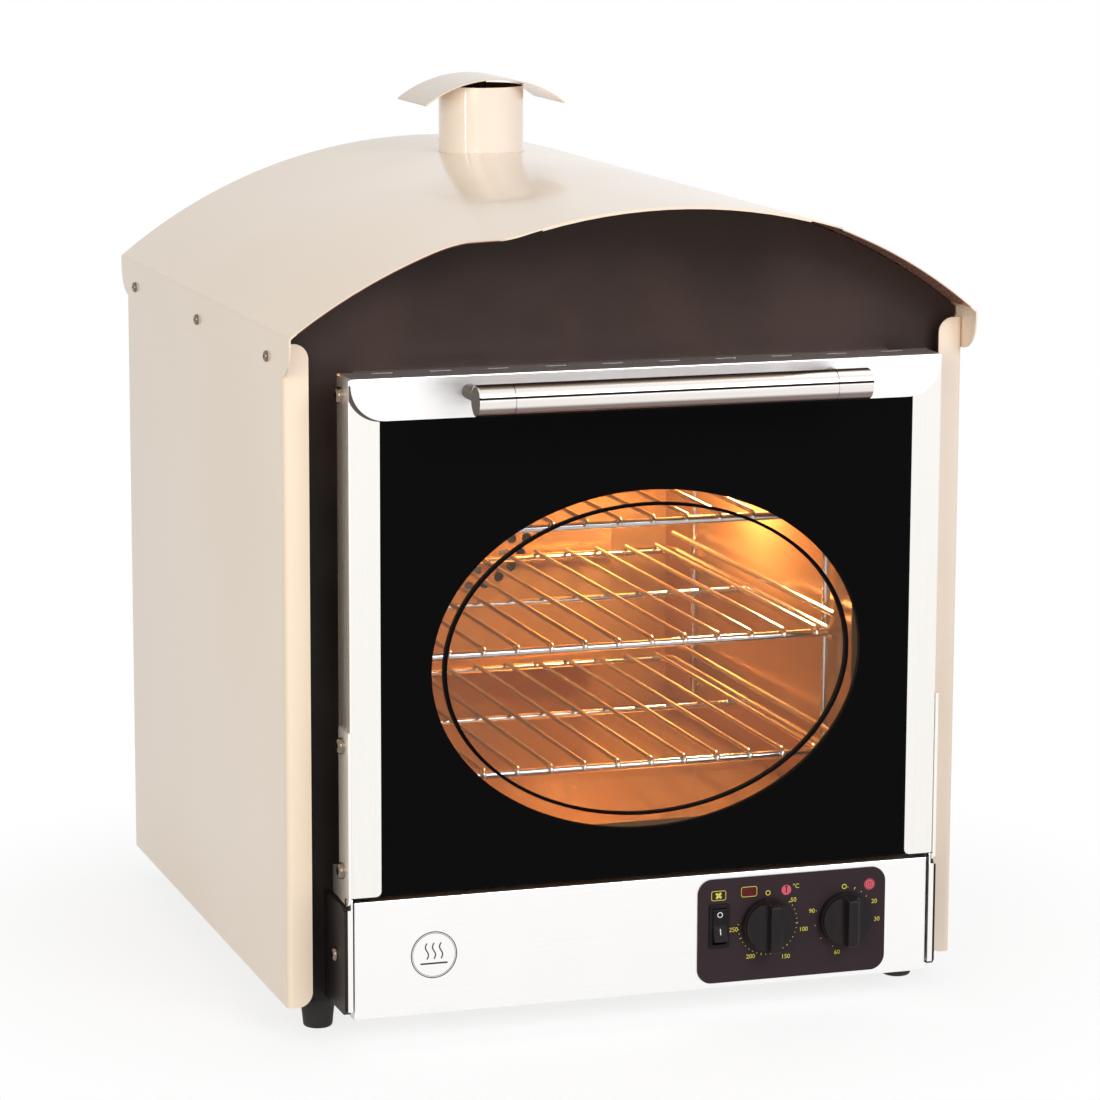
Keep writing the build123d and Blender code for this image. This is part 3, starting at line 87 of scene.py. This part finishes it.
def light_cavity():
    """The warm light of the oven's own lamp, beside its lens."""
    glow = bpy.data.lights.new("oven_glow", "POINT")
    glow.energy = GLOW_WATTS
    glow.color = GLOW_COLOUR
    glow.shadow_soft_size = GLOW_RADIUS
    holder = bpy.data.objects.new("oven_glow", glow)
    holder.location = GLOW_PLACE
    bpy.context.scene.collection.objects.link(holder)


set_camera()
soft_box("key_lamp", (0.9, -2.8, 1.9), (0, 0, 0.3), 1.6, 1.2, 50, KEY_COLOUR)
soft_box("fill_lamp", (-1.5, -2.0, 1.0), (0, 0, 0.3), 1.2, 1.2, 17, FILL_COLOUR)
soft_box("top_lamp", (1.2, 0.2, 2.4), (0, 0, 0.5), 1.4, 1.4, 5.5, TOP_COLOUR)
soft_box("strip_lamp", (-2.65, -1.41, 0.8), (0, 0.1, 0.5), 0.06, 1.1, 9)
light_cavity()

# ------------------------------------------------------------------ finishes


def tint(red, green, blue):
    """An 8-bit colour as Blender's linear one."""
    def linear(level):
        level /= 255
        return level / 12.92 if level <= 0.04045 else ((level + 0.055) / 1.055) ** 2.4
    return (linear(red), linear(green), linear(blue), 1)


class Field:
    """A shader value that takes part in expressions."""

    def __init__(self, finish, socket):
        self.finish = finish
        self.socket = socket

    def __add__(self, other):
        return self.finish.math("ADD", self, other)

    __radd__ = __add__

    def __sub__(self, other):
        return self.finish.math("SUBTRACT", self, other)

    def __rsub__(self, other):
        return self.finish.math("SUBTRACT", other, self)

    def __mul__(self, other):
        return self.finish.math("MULTIPLY", self, other)

    __rmul__ = __mul__

    def __truediv__(self, other):
        return self.finish.math("DIVIDE", self, other)

    def __pow__(self, other):
        return self.finish.math("POWER", self, other)

    def __lt__(self, other):
        return self.finish.math("LESS_THAN", self, other)

    def __gt__(self, other):
        return self.finish.math("GREATER_THAN", self, other)

    def __abs__(self):
        return self.finish.math("ABSOLUTE", self, 0)


class Finish:
    """A material or a world whose nodes are written as expressions."""

    def __init__(self, owner):
        owner.use_nodes = True
        self.owner = owner
        self.tree = owner.node_tree
        self.tree.nodes.clear()

    def node(self, kind, settings, inputs, output=0):
        """A new node with its settings and inputs; what it gives comes back."""
        made = self.tree.nodes.new(kind)
        for name, setting in settings.items():
            setattr(made, name, setting)
        for name, given in inputs.items():
            if isinstance(given, Field):
                self.tree.links.new(given.socket, made.inputs[name])
            else:
                made.inputs[name].default_value = given
        return Field(self, made.outputs[output]) if len(made.outputs) else None

    def math(self, operation, first, second):
        return self.node("ShaderNodeMath", {"operation": operation}, {0: first, 1: second})

    def place(self, scale=(1, 1, 1), centre=(0, 0, 0)):
        """Object coordinates, moved to a centre and scaled."""
        here = self.node("ShaderNodeTexCoord", {}, {}, "Object")
        moved = self.node("ShaderNodeVectorMath", {"operation": "SUBTRACT"}, {0: here, 1: centre})
        return self.node("ShaderNodeMapping", {}, {"Vector": moved, "Scale": scale})

    def axes(self, centre=(0, 0, 0)):
        """The three coordinates as separate values."""
        parts = self.node("ShaderNodeSeparateXYZ", {}, {"Vector": self.place(centre=centre)})
        return [Field(self, socket) for socket in parts.socket.node.outputs]

    def noise(self, scale, detail=3, stretch=(1, 1, 1), rough=0.5):
        given = {"Vector": self.place(stretch), "Scale": scale, "Detail": detail,
                 "Roughness": rough}
        return self.node("ShaderNodeTexNoise", {}, given)

    def ramp(self, value, low, high):
        """0 below low, 1 above high, smooth between."""
        return self.node("ShaderNodeMapRange", {"interpolation_type": "SMOOTHSTEP"},
                         {"Value": value, "From Min": low, "From Max": high})

    def mix(self, mask, low, high):
        return self.node("ShaderNodeMix", {"data_type": "RGBA"}, {0: mask, 6: low, 7: high}, 2)

    def bump(self, height, strength, distance):
        return self.node("ShaderNodeBump", {},
                         {"Height": height, "Strength": strength, "Distance": distance})

    def surface(self, **inputs):
        """The shader, linked to the material's output. Underscores stand for spaces."""
        given = {name.replace("_", " "): value for name, value in inputs.items()}
        shader = self.node("ShaderNodeBsdfPrincipled", {}, given)
        self.finish_with(shader)
        return self.owner

    def finish_with(self, shader):
        end = "World" if isinstance(self.owner, bpy.types.World) else "Material"
        self.node("ShaderNodeOutput" + end, {}, {"Surface": shader})


def faded(colour, share):
    """A colour brought down to a share of its brightness."""
    return tuple(share * level for level in colour[:3]) + (1,)


def enamel(name, colour, shade, gloss, coating=0.2, hidden=None, painted_shade_colour=None):
    """Glossy vitreous enamel: faint orange peel, drifting colour, and on a hidden side a painted
    shade of another colour.
    """
    coat = Finish(bpy.data.materials.new(name))
    drift = coat.ramp(coat.noise(3.5, 2), 0.35, 0.7)
    speck = coat.ramp(coat.noise(900, 2), 0.62, 0.75)
    peel = coat.noise(260, 2) + 0.4 * coat.noise(1100, 1)
    body = coat.mix(drift, colour, shade)
    # painted shade: the hidden side takes a darker colour in place of the shade that falls on it
    if hidden:
        body = coat.mix(hidden(coat), body, painted_shade_colour)
    return coat.surface(Base_Color=coat.mix(0.08 * speck, body, tint(190, 175, 150)),
                        Roughness=gloss + 0.06 * drift, Specular_IOR_Level=0.25,
                        Coat_Weight=coating, Coat_Roughness=0.05,
                        Normal=coat.bump(peel, 0.12, 0.0004))


def arch_underside(coat):
    """The underside of the arched roof, beside its nose, which takes a warm painted shade."""
    across, _, rise = coat.axes((0, 0, ARCH_AXIS))
    from_axis = (across ** 2 + rise ** 2) ** 0.5
    under = (from_axis < ARCH_UNDERSIDE) * (abs(across) < ARCH_HALF_WIDTH)
    return under * (abs(across) > NOSE_HALF_WIDTH) * (rise > ARCH_FOOT)


def tube_inside(coat):
    """The inside of the chimney's tube, which takes a dark painted shade."""
    low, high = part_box("chimney_tube")
    across, along, _ = coat.axes(((low.x + high.x) / 2, (low.y + high.y) / 2, 0))
    return (across ** 2 + along ** 2) ** 0.5 < TUBE_BORE


def brushed(name, colour, stretch, rough, metal=1.0, depth=0.25):
    """Sheet metal with a brushed grain along the axis that is stretched least."""
    sheet = Finish(bpy.data.materials.new(name))
    grain = sheet.noise(1, 4, stretch, 0.65)
    cloud = sheet.noise(9, 3)
    smear = sheet.ramp(sheet.noise(30, 4), 0.55, 0.8)
    return sheet.surface(Base_Color=sheet.mix(0.75 * grain, colour, faded(colour, 0.86)),
                         Metallic=metal,
                         Roughness=rough + 0.16 * grain + 0.07 * cloud + 0.04 * smear,
                         Normal=sheet.bump(grain, depth, 0.0002))


def plated(name, colour, rough):
    """Bright plating with faint clouding and fine pits."""
    plate = Finish(bpy.data.materials.new(name))
    cloud = plate.noise(40, 4)
    pits = plate.ramp(plate.noise(700, 2), 0.6, 0.8)
    dull = plate.mix(0.35 * cloud + 0.2 * pits, colour, faded(colour, 0.6))
    return plate.surface(Base_Color=dull, Metallic=1.0, Roughness=rough + 0.12 * cloud,
                         Normal=plate.bump(pits, 0.1, 0.0002))


def moulded(name, colour, rough, grain=0.25, shine=0.5):
    """Moulded plastic or rubber with a fine spark-eroded grain."""
    shell = Finish(bpy.data.materials.new(name))
    texture = shell.noise(1400, 3)
    haze = shell.noise(25, 3)
    worn = tuple(min(1, 1.5 * level + 0.008) for level in colour[:3]) + (1,)
    return shell.surface(Base_Color=shell.mix(0.5 * haze, colour, worn),
                         Roughness=rough + 0.12 * haze,
                         Specular_IOR_Level=shine, Normal=shell.bump(texture, grain, 0.0002))


def printed(name, colour, rough=0.45):
    """Screen-printed ink: slightly uneven cover."""
    ink = Finish(bpy.data.materials.new(name))
    cover = ink.noise(600, 3)
    return ink.surface(Base_Color=ink.mix(cover, colour, faded(colour, 0.8)),
                       Roughness=rough + 0.1 * cover)


def front_enamel():
    """The front frame's dark enamel: painted shade makes it darker low down beside the door, and it
    is browner above.
    """
    coat = Finish(bpy.data.materials.new("dark_enamel"))
    mottle = coat.ramp(coat.noise(14, 5), 0.35, 0.7)
    *_, up = coat.axes()
    # painted shade: low down the frame takes a darker colour that stands in for the shade beside
    # the door
    painted_shade_dark = coat.mix(mottle, tint(24, 19, 18), tint(31, 25, 24))
    brown = coat.mix(mottle, tint(48, 35, 31), tint(60, 45, 41))
    return coat.surface(Base_Color=coat.mix(coat.ramp(up, *SHADE_FADE), painted_shade_dark, brown),
                        Roughness=0.42 + 0.1 * mottle, Specular_IOR_Level=0.22,
                        Normal=coat.bump(coat.noise(500, 3), 0.15, 0.0003))


def stile_steel():
    """Upright brushed steel, shaded where the left stile runs under the top rail's round corner."""
    stile = Finish(bpy.data.materials.new("steel_stile"))
    across, depth, up = stile.axes(RAIL_CORNER)
    grain = stile.noise(1, 4, UPRIGHT, 0.65)
    from_corner = (across ** 2 + up ** 2) ** 0.5
    sideways = -1 * across / from_corner
    edge = stile.ramp(from_corner - SHADE_WIDTH * sideways, RAIL_RADIUS, RAIL_RADIUS + 0.0006)
    shade = ((from_corner > RAIL_RADIUS - 0.0001) * (1 - edge) * (across < 0) * (up < 0)
             * (abs(depth) < SHEET / 2))
    steel = stile.mix(0.7 * grain, tint(253, 251, 247), tint(226, 222, 214))
    return stile.surface(Base_Color=stile.mix(0.92 * shade, steel, tint(50, 34, 27)), Metallic=1.0,
                         Roughness=0.2 + 0.16 * grain, Normal=stile.bump(grain, 0.25, 0.0002))


def grip_steel():
    """The handle's tube: brushed along its length, with darker bands and lines from end to end that
    are painted reflections, and a painted shade along its underside.
    """
    grip = Finish(bpy.data.materials.new("steel_tube"))
    *_, height = grip.axes((0, 0, GRIP_HEIGHT))
    grain = grip.noise(1, 4, ACROSS, 0.65)
    # painted reflections: the top band, the low band and the middle line stand in for the studio's
    # reflections; the dark underside is painted shade
    top_reflection_band = grip.ramp(height, *GRIP_TOP_BAND)
    low_reflection_band = 1 - grip.ramp(abs(height - GRIP_LOW_BAND), 0.0014, 0.0038)
    middle_reflected_line = 1 - grip.ramp(abs(height - GRIP_MIDDLE_LINE), 0.0005, 0.0013)
    underside = 1 - grip.ramp(height, *GRIP_UNDERSIDE)
    lines = middle_reflected_line + underside
    bright = grip.mix(0.7 * grain, tint(250, 246, 241), tint(216, 207, 200))
    reflection_banded = grip.mix(0.9 * (top_reflection_band + 0.95 * low_reflection_band), bright, tint(104, 78, 74))
    return grip.surface(Base_Color=grip.mix(lines, reflection_banded, tint(30, 22, 22)), Metallic=1.0,
                        Roughness=0.16 + 0.14 * grain + 0.5 * lines,
                        Normal=grip.bump(grain, 0.2, 0.0002))


def printed_pane():
    """The door's outer glass: black print with an oval window and a thin black ring inside it."""
    pane = Finish(bpy.data.materials.new("printed_glass"))
    across, _, up = pane.axes(OVAL_CENTRE)
    oval = (across / OVAL_HALF_WIDTH) ** 2 + (up / OVAL_HALF_HEIGHT) ** 2
    ring = ((across / RING_HALF_WIDTH) ** 2 + (up / RING_HALF_HEIGHT) ** 2) ** 0.5
    print_cover = 1 - (oval < 1) * (abs(ring - 1) > RING_SHARE)
    haze = pane.noise(5, 4)
    return pane.surface(Base_Color=pane.mix(print_cover, tint(140, 120, 104), tint(7, 6, 7)),
                        Roughness=0.045 + 0.03 * haze, Alpha=0.07 + 0.93 * print_cover,
                        Specular_IOR_Level=0.035)


def clear_pane():
    """The door's inner glass, with a thin uneven film of fat."""
    pane = Finish(bpy.data.materials.new("clear_glass"))
    film = pane.noise(12, 4)
    return pane.surface(Base_Color=pane.mix(film, tint(110, 110, 106), tint(150, 140, 120)),
                        Roughness=0.05 + 0.05 * film, Alpha=0.04 + 0.05 * film)


def lit_glass():
    """The oven lamp's ribbed lens, lit from behind."""
    lens = Finish(bpy.data.materials.new("lamp_glass"))
    ribs = lens.noise(220, 2)
    return lens.surface(Base_Color=tint(255, 226, 170), Roughness=0.3 + 0.2 * ribs,
                        Emission_Color=lens.mix(ribs, (1, 0.62, 0.25, 1), (1, 0.8, 0.45, 1)),
                        Emission_Strength=9.0, Normal=lens.bump(ribs, 0.3, 0.001))


def fading_floor():
    """A pale floor that fades into the white round it."""
    paint = Finish(bpy.data.materials.new("floor_paint"))
    across, along, _ = paint.axes()
    away = (across ** 2 + along ** 2) ** 0.5
    return paint.surface(Base_Color=tint(252, 252, 252), Roughness=0.8,
                         Alpha=FLOOR_COVER - FLOOR_COVER * paint.ramp(away, *FLOOR_FADE))


def white_studio():
    """A world that is white to look at and softer as light."""
    sky = Finish(bpy.data.worlds.new("studio"))
    bpy.context.scene.world = sky.owner
    looks = [sky.node("ShaderNodeLightPath", {}, {}, ray)
             for ray in ("Is Camera Ray", "Is Glossy Ray", "Is Transmission Ray")]
    direct = sky.math("MAXIMUM", looks[0], sky.math("MAXIMUM", looks[1], looks[2]))
    strength = SHADE_LIGHT + (1 - SHADE_LIGHT) * direct
    white = sky.node("ShaderNodeBackground", {}, {"Color": (1, 1, 1, 1), "Strength": strength})
    sky.finish_with(white)


# grain directions: the axis with the small figure is the one that the brushing follows
ACROSS = (10, 900, 2400)
UPRIGHT = (2400, 900, 10)
INWARD = (900, 10, 2400)

SHEET = 0.0012
ARCH_AXIS = 0.1886
ARCH_UNDERSIDE = 0.4045
ARCH_HALF_WIDTH = 0.2495
ARCH_FOOT = 0.312
NOSE_HALF_WIDTH = 0.124
TUBE_BORE = 0.0323
# heights over which the front frame's painted shade gives way to its browner colour
SHADE_FADE = (0.36, 0.50)
RAIL_CORNER = (-0.1928, -0.24405, 0.4726)
RAIL_RADIUS = 0.025
SHADE_WIDTH = 0.0030
GRIP_HEIGHT = 0.4657
# heights of the handle's painted reflections and painted shade
GRIP_TOP_BAND = (0.0088, 0.0102)
GRIP_MIDDLE_LINE = 0.0027
GRIP_LOW_BAND = -0.0068
GRIP_UNDERSIDE = (-0.0092, -0.0080)
OVAL_CENTRE = (0, 0, 0.2685)
OVAL_HALF_WIDTH = 0.1598
OVAL_HALF_HEIGHT = 0.1215
RING_HALF_WIDTH = 0.1500
RING_HALF_HEIGHT = 0.1112
RING_SHARE = 0.009
FLOOR_FADE = (0.26, 0.60)
FLOOR_COVER = 0.22
SHADE_LIGHT = 0.42

white_studio()
# the roof's underside gets a warm painted shade
cream = enamel("cream_enamel", tint(248, 230, 211), tint(244, 225, 203), 0.16,
               hidden=arch_underside, painted_shade_colour=tint(170, 122, 108))
# the tube's inside gets a dark painted shade
tube_cream = enamel("tube_enamel", tint(243, 231, 217), tint(240, 227, 211), 0.16, 0.7,
                    hidden=tube_inside, painted_shade_colour=tint(112, 82, 66))
# a darker copy of the cream enamel: painted shade on the chimney cap
cap_cream_shaded = enamel("cap_enamel_shaded", tint(229, 212, 196), tint(225, 207, 190), 0.18)
steel_across = brushed("steel_across", tint(253, 252, 251), ACROSS, 0.2)
steel_upright = brushed("steel_upright", tint(253, 251, 247), UPRIGHT, 0.2)
# painted warm light: the liner's golden colour stands in for the oven lamp's glow on its walls
liner_steel_lamp_tinted = brushed("liner_steel_lamp_tinted", tint(196, 150, 100), INWARD, 0.08, metal=0.6, depth=0.2)
aluminium = brushed("fan_aluminium", tint(205, 206, 210), ACROSS, 0.3)
zinc = plated("zinc_plate", tint(172, 164, 156), 0.2)
# painted reflection: the screw heads are darker than the zinc plating, standing in for the dark
# surroundings they reflect
screw_metal_painted_dark = plated("screw_metal_painted_dark", tint(132, 118, 106), 0.12)
chrome = plated("chrome_wire", tint(225, 225, 225), 0.08)
element_skin = plated("element_sheath", tint(96, 86, 80), 0.45)
post_paint = moulded("post_paint", tint(58, 44, 40), 0.42, shine=0.2)
black_plastic = moulded("black_plastic", tint(17, 14, 16), 0.4, shine=0.14)
knob_plastic = moulded("knob_plastic", tint(24, 18, 20), 0.3, shine=0.2)
label_film = moulded("label_film", tint(46, 35, 39), 0.4, 0.1, shine=0.12)
red_lens = moulded("red_lens", tint(84, 24, 22), 0.15, 0.05, shine=0.15)
rubber = moulded("rubber", tint(24, 22, 21), 0.7, 0.5)
ceramic = moulded("ceramic", tint(226, 222, 210), 0.35, 0.2)
wool = moulded("mineral_wool", tint(150, 138, 96), 0.9, 1.0)
yellow_ink = printed("yellow_ink", tint(232, 220, 80))
red_ink = printed("red_ink", tint(226, 92, 108))
white_ink = printed("white_ink", tint(236, 236, 236))
black_ink = printed("black_ink", tint(38, 36, 38))

# ------------------------------------------------------------------ finishes on the solids

FINISHES = {
    "cream_enamel": cream, "dark_enamel": front_enamel(), "stainless": steel_across,
    "handle_steel": grip_steel(), "oven_steel": liner_steel_lamp_tinted, "zinc_steel": zinc,
    "chrome_wire": chrome, "fan_aluminium": aluminium, "element_metal": element_skin,
    "dark_glass": printed_pane(), "clear_glass": clear_pane(), "post_black": post_paint,
    "black_plastic": black_plastic, "label_face": label_film, "amber_lens": red_lens,
    "rubber": rubber, "lamp_ceramic": ceramic, "mineral_wool": wool,
}
OWN_FINISHES = {
    # the cap bracket takes the dark post paint as painted shade under the cap
    "chimney_tube": tube_cream, "chimney_cap": cap_cream_shaded, "cap_bracket": post_paint,
    "door_stiles": stile_steel(), "hinge_brackets": steel_upright, "hinge_supports": steel_upright,
    "casing_screws": screw_metal_painted_dark, "door_screws": screw_metal_painted_dark, "hinge_pins": screw_metal_painted_dark,
    "thermostat_knob": knob_plastic, "timer_knob": knob_plastic, "lamp_lens": lit_glass(),
}
slots = {entry["node"]: entry["material_slot"] for entry in frame["record"]["subparts"]}
for node_name, solid in nodes.items():
    material = OWN_FINISHES.get(node_name, FINISHES[slots[node_name]])
    solid.data.materials.clear()
    solid.data.materials.append(material)


def settle(form, name, material, body):
    """Turn a bmesh into a finished piece that rides on a body."""
    bmesh.ops.remove_doubles(form, verts=form.verts, dist=1e-6)
    mesh = bpy.data.meshes.new(name)
    form.to_mesh(mesh)
    form.free()
    piece = bpy.data.objects.new(name, mesh)
    bpy.context.scene.collection.objects.link(piece)
    mesh.materials.append(material)
    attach(piece, body)


# ------------------------------------------------------------------ prints on the control panel

LABEL_FRONT = -0.24205
PANEL_FRONT = -0.24125
INK = 0.00012
THERMOSTAT = (0.0925, 0.0681)
TIMER = (0.1515, 0.0681)
TICK_CIRCLE = 0.0226
ZERO_CIRCLE = 0.0230
TICK_WIDTH = 0.0005
LONG_TICK = 0.0018
SHORT_TICK = 0.0007
NUMBER_HEIGHT = 0.0046
SCALE_WORDS = (("50", (0.1122, 0.0843)), ("100", (0.1202, 0.0618)), ("150", (0.1067, 0.0426)),
               ("200", (0.0797, 0.0448)), ("250", (0.0663, 0.0657)), ("20", (0.1750, 0.0783)),
               ("30", (0.1772, 0.0648)), ("60", (0.1466, 0.0424)), ("90", (0.1266, 0.0748)),
               ("\u00b0C", (0.1140, 0.0944)))
HEAT_SYMBOL = (0.0780, 0.0931)
FAN_SYMBOL = (0.0547, 0.0919)
BOX_LINE = 0.0004
BLADE_REACH = 0.0015
BLADE_LEAN = 0.35
THERMOMETER = (0.1066, 0.0922)
CLOCK = (0.1711, 0.0914)
OFF_MARK = (0.055, 0.0783)
ON_MARK = (0.055, -0.24585, 0.0660)
ROCKER_FRONT = -0.24458
ROCKER_SLANT = 15.9
PANEL_MARK = (-0.158, 0.066)
STEAM_PITCH = 0.0052
STEAM_STEPS = 10
STEAM_SWAY = 0.0011
STEAM_RISE = 0.00115


def facing_front(depth):
    """A matrix that stands a drawing on the XY plane up against a front at the given depth."""
    return Matrix.Translation((0, depth, 0)) @ Matrix.Rotation(math.radians(90), 4, "X")


def lettering(form, words, centre, height):
    """Add flat words to a drawing, centred on a point."""
    curve = bpy.data.curves.new("words", "FONT")
    curve.body = words
    curve.size = height
    curve.align_x = "CENTER"
    curve.align_y = "CENTER"
    curve.resolution_u = 3
    holder = bpy.data.objects.new("words", curve)
    mesh = bpy.data.meshes.new_from_object(holder)
    mesh.transform(Matrix.Translation((*centre, 0)))
    form.from_mesh(mesh)
    bpy.data.objects.remove(holder)
    bpy.data.meshes.remove(mesh)


def hollow(form, face, border):
    """Leave only a border of a flat face."""
    bmesh.ops.inset_region(form, faces=[face], thickness=border, use_boundary=True,
                           use_even_offset=True)
    bmesh.ops.delete(form, geom=[face], context="FACES")


def disc(form, centre, radius, hole=0.0, segments=32):
    """Add a flat disc or ring."""
    made = bmesh.ops.create_circle(form, cap_ends=True, segments=segments, radius=radius,
                                   matrix=Matrix.Translation((*centre, 0)))
    face = made["verts"][0].link_faces[0]
    if hole:
        hollow(form, face, radius - hole)


def bar(form, centre, width, height, lean=0.0, corner=0.0, line=0.0):
    """Add a flat rectangle, with rounded corners or as an outline where asked."""
    turned = Matrix.Rotation(lean, 4, "Z") @ Matrix.Diagonal((width, height, 1, 1))
    at = Matrix.Translation((*centre, 0)) @ turned
    made = bmesh.ops.create_grid(form, x_segments=1, y_segments=1, size=0.5, matrix=at)
    corners = made["verts"]
    face = corners[0].link_faces[0]
    if corner:
        rounded = bmesh.ops.bevel(form, geom=corners, offset=corner, segments=5, profile=0.5,
                                  affect="VERTICES", material=-1)
        face = max(rounded["verts"][0].link_faces, key=lambda one: one.calc_area())
    if line:
        hollow(form, face, line)


def ink(form, name, material, body, stand, thickness=INK, slot="label_face"):
    """Give a drawing its thickness, stand it against its face with a matrix and finish it."""
    lifted = bmesh.ops.extrude_face_region(form, geom=form.faces[:])["geom"]
    corners = [part for part in lifted if isinstance(part, bmesh.types.BMVert)]
    bmesh.ops.translate(form, verts=corners, vec=(0, 0, thickness))
    bmesh.ops.recalc_face_normals(form, faces=form.faces)
    form.transform(stand)
    settle(form, name, material, body)


def round_dial(dial, degrees, reach=TICK_CIRCLE):
    """A point at an angle round a dial, clockwise from its top."""
    turn = math.radians(degrees)
    return (dial[0] + reach * math.sin(turn), dial[1] + reach * math.cos(turn))


def print_scales():
    """The yellow numbers, ticks, zero marks, and the fan and heat symbols."""
    drawing = bmesh.new()
    for words, centre in SCALE_WORDS:
        lettering(drawing, words, centre, NUMBER_HEIGHT)
    for dial in (THERMOSTAT, TIMER):
        disc(drawing, round_dial(dial, 0, ZERO_CIRCLE), 0.0019, 0.0013)
    for dial, marks, long_marks in ((THERMOSTAT, range(48, 280, 9), (48, 93, 138, 192, 246)),
                                    (TIMER, (7, 21, 36, 50, 202, 231, 259, 287), (21,))):
        for degrees in marks:
            tick = LONG_TICK if degrees in long_marks else SHORT_TICK
            bar(drawing, round_dial(dial, degrees), TICK_WIDTH, tick, -math.radians(degrees))
    bar(drawing, HEAT_SYMBOL, 0.0122, 0.0076, corner=0.0018, line=BOX_LINE)
    bar(drawing, FAN_SYMBOL, 0.0112, 0.0072, corner=0.0014, line=BOX_LINE)
    for blade in range(4):
        turn = math.radians(45 + 90 * blade)
        place = (FAN_SYMBOL[0] + BLADE_REACH * math.sin(turn),
                 FAN_SYMBOL[1] + BLADE_REACH * math.cos(turn))
        bar(drawing, place, 0.0016, 0.0025, -turn + BLADE_LEAN, corner=0.0005)
    ink(drawing, "yellow_prints", yellow_ink, "oven", facing_front(LABEL_FRONT))


def print_red_discs():
    """The red discs of the thermometer and the clock, with their dark strokes."""
    discs = bmesh.new()
    disc(discs, THERMOMETER, 0.0037)
    disc(discs, CLOCK, 0.0041, 0.0037)
    disc(discs, CLOCK, 0.0033)
    ink(discs, "red_prints", red_ink, "oven", facing_front(LABEL_FRONT))

    strokes = bmesh.new()
    bar(strokes, THERMOMETER, 0.0008, 0.0046, corner=0.0003)
    bar(strokes, (THERMOMETER[0], THERMOMETER[1] + 0.0026), 0.0018, 0.0012, corner=0.0004)
    disc(strokes, CLOCK, 0.0019, 0.0016)
    bar(strokes, (CLOCK[0], CLOCK[1] + 0.0007), 0.0005, 0.0016)
    ink(strokes, "symbol_strokes", label_film, "oven", facing_front(LABEL_FRONT - INK), 0.00005)


def print_rocker_marks():
    """Off and on on the rocker: its upper half stands upright, its lower half slants."""
    ring_mark = bmesh.new()
    disc(ring_mark, OFF_MARK, 0.0021, 0.0015)
    ink(ring_mark, "rocker_off_mark", white_ink, "rocker", facing_front(ROCKER_FRONT),
        slot="black_plastic")
    line_mark = bmesh.new()
    bar(line_mark, (0, 0), 0.0007, 0.0044)
    slant = Matrix.Translation(ON_MARK) @ Matrix.Rotation(math.radians(90 - ROCKER_SLANT), 4, "X")
    ink(line_mark, "rocker_on_mark", white_ink, "rocker", slant, slot="black_plastic")


def print_panel_mark():
    """The panel's round mark: three lines of steam over a dish, in a double ring."""
    mark = bmesh.new()
    disc(mark, PANEL_MARK, 0.0170, 0.0163, 64)
    disc(mark, PANEL_MARK, 0.0158, 0.0155, 64)
    for column in (-STEAM_PITCH, 0, STEAM_PITCH):
        for step in range(STEAM_STEPS):
            phase = math.radians(36 * step + 18)
            slope = STEAM_SWAY * math.cos(phase) * math.radians(36) / STEAM_RISE
            bar(mark, (PANEL_MARK[0] + column + STEAM_SWAY * math.sin(phase),
                       PANEL_MARK[1] - 0.0024 + STEAM_RISE * step),
                0.0009, 0.0016, -math.atan(slope), corner=0.0003)
    bar(mark, (PANEL_MARK[0], PANEL_MARK[1] - 0.0062), 0.0200, 0.0012, corner=0.0005)
    ink(mark, "panel_mark", black_ink, "oven", facing_front(PANEL_FRONT), slot="black_plastic")


print_scales()
print_red_discs()
print_rocker_marks()
print_panel_mark()

# ------------------------------------------------------------------ handle ends

END_DISC = 0.0098
END_DISC_DEPTH = 0.0004
END_DISC_BEVEL = 0.00012


def shade_handle_ends():
    """A thin dark disc in each end of the handle, as painted shade on the end faces."""
    low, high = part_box("handle_caps")
    sideways = Matrix.Rotation(math.radians(90), 4, "Y")
    ends = bmesh.new()
    for side in (low.x, high.x):
        at = Matrix.Translation((side, (low.y + high.y) / 2, (low.z + high.z) / 2))
        bmesh.ops.create_cone(ends, cap_ends=True, segments=64, radius1=END_DISC, radius2=END_DISC,
                              depth=END_DISC_DEPTH, matrix=at @ sideways)
    rims = [edge for edge in ends.edges if any(len(face.verts) > 4 for face in edge.link_faces)]
    bmesh.ops.bevel(ends, geom=rims, offset=END_DISC_BEVEL, segments=2, profile=0.5,
                    affect="EDGES", material=-1)
    settle(ends, "handle_end_shade_discs", post_paint, "door")


shade_handle_ends()

# ------------------------------------------------------------------ floor

FLOOR_SIZE = 6

ground = bmesh.new()
bmesh.ops.create_grid(ground, x_segments=1, y_segments=1, size=FLOOR_SIZE)
floor_mesh = bpy.data.meshes.new("floor")
ground.to_mesh(floor_mesh)
ground.free()
floor_mesh.materials.append(fading_floor())
floor = bpy.data.objects.new("floor", floor_mesh)
bpy.context.scene.collection.objects.link(floor)
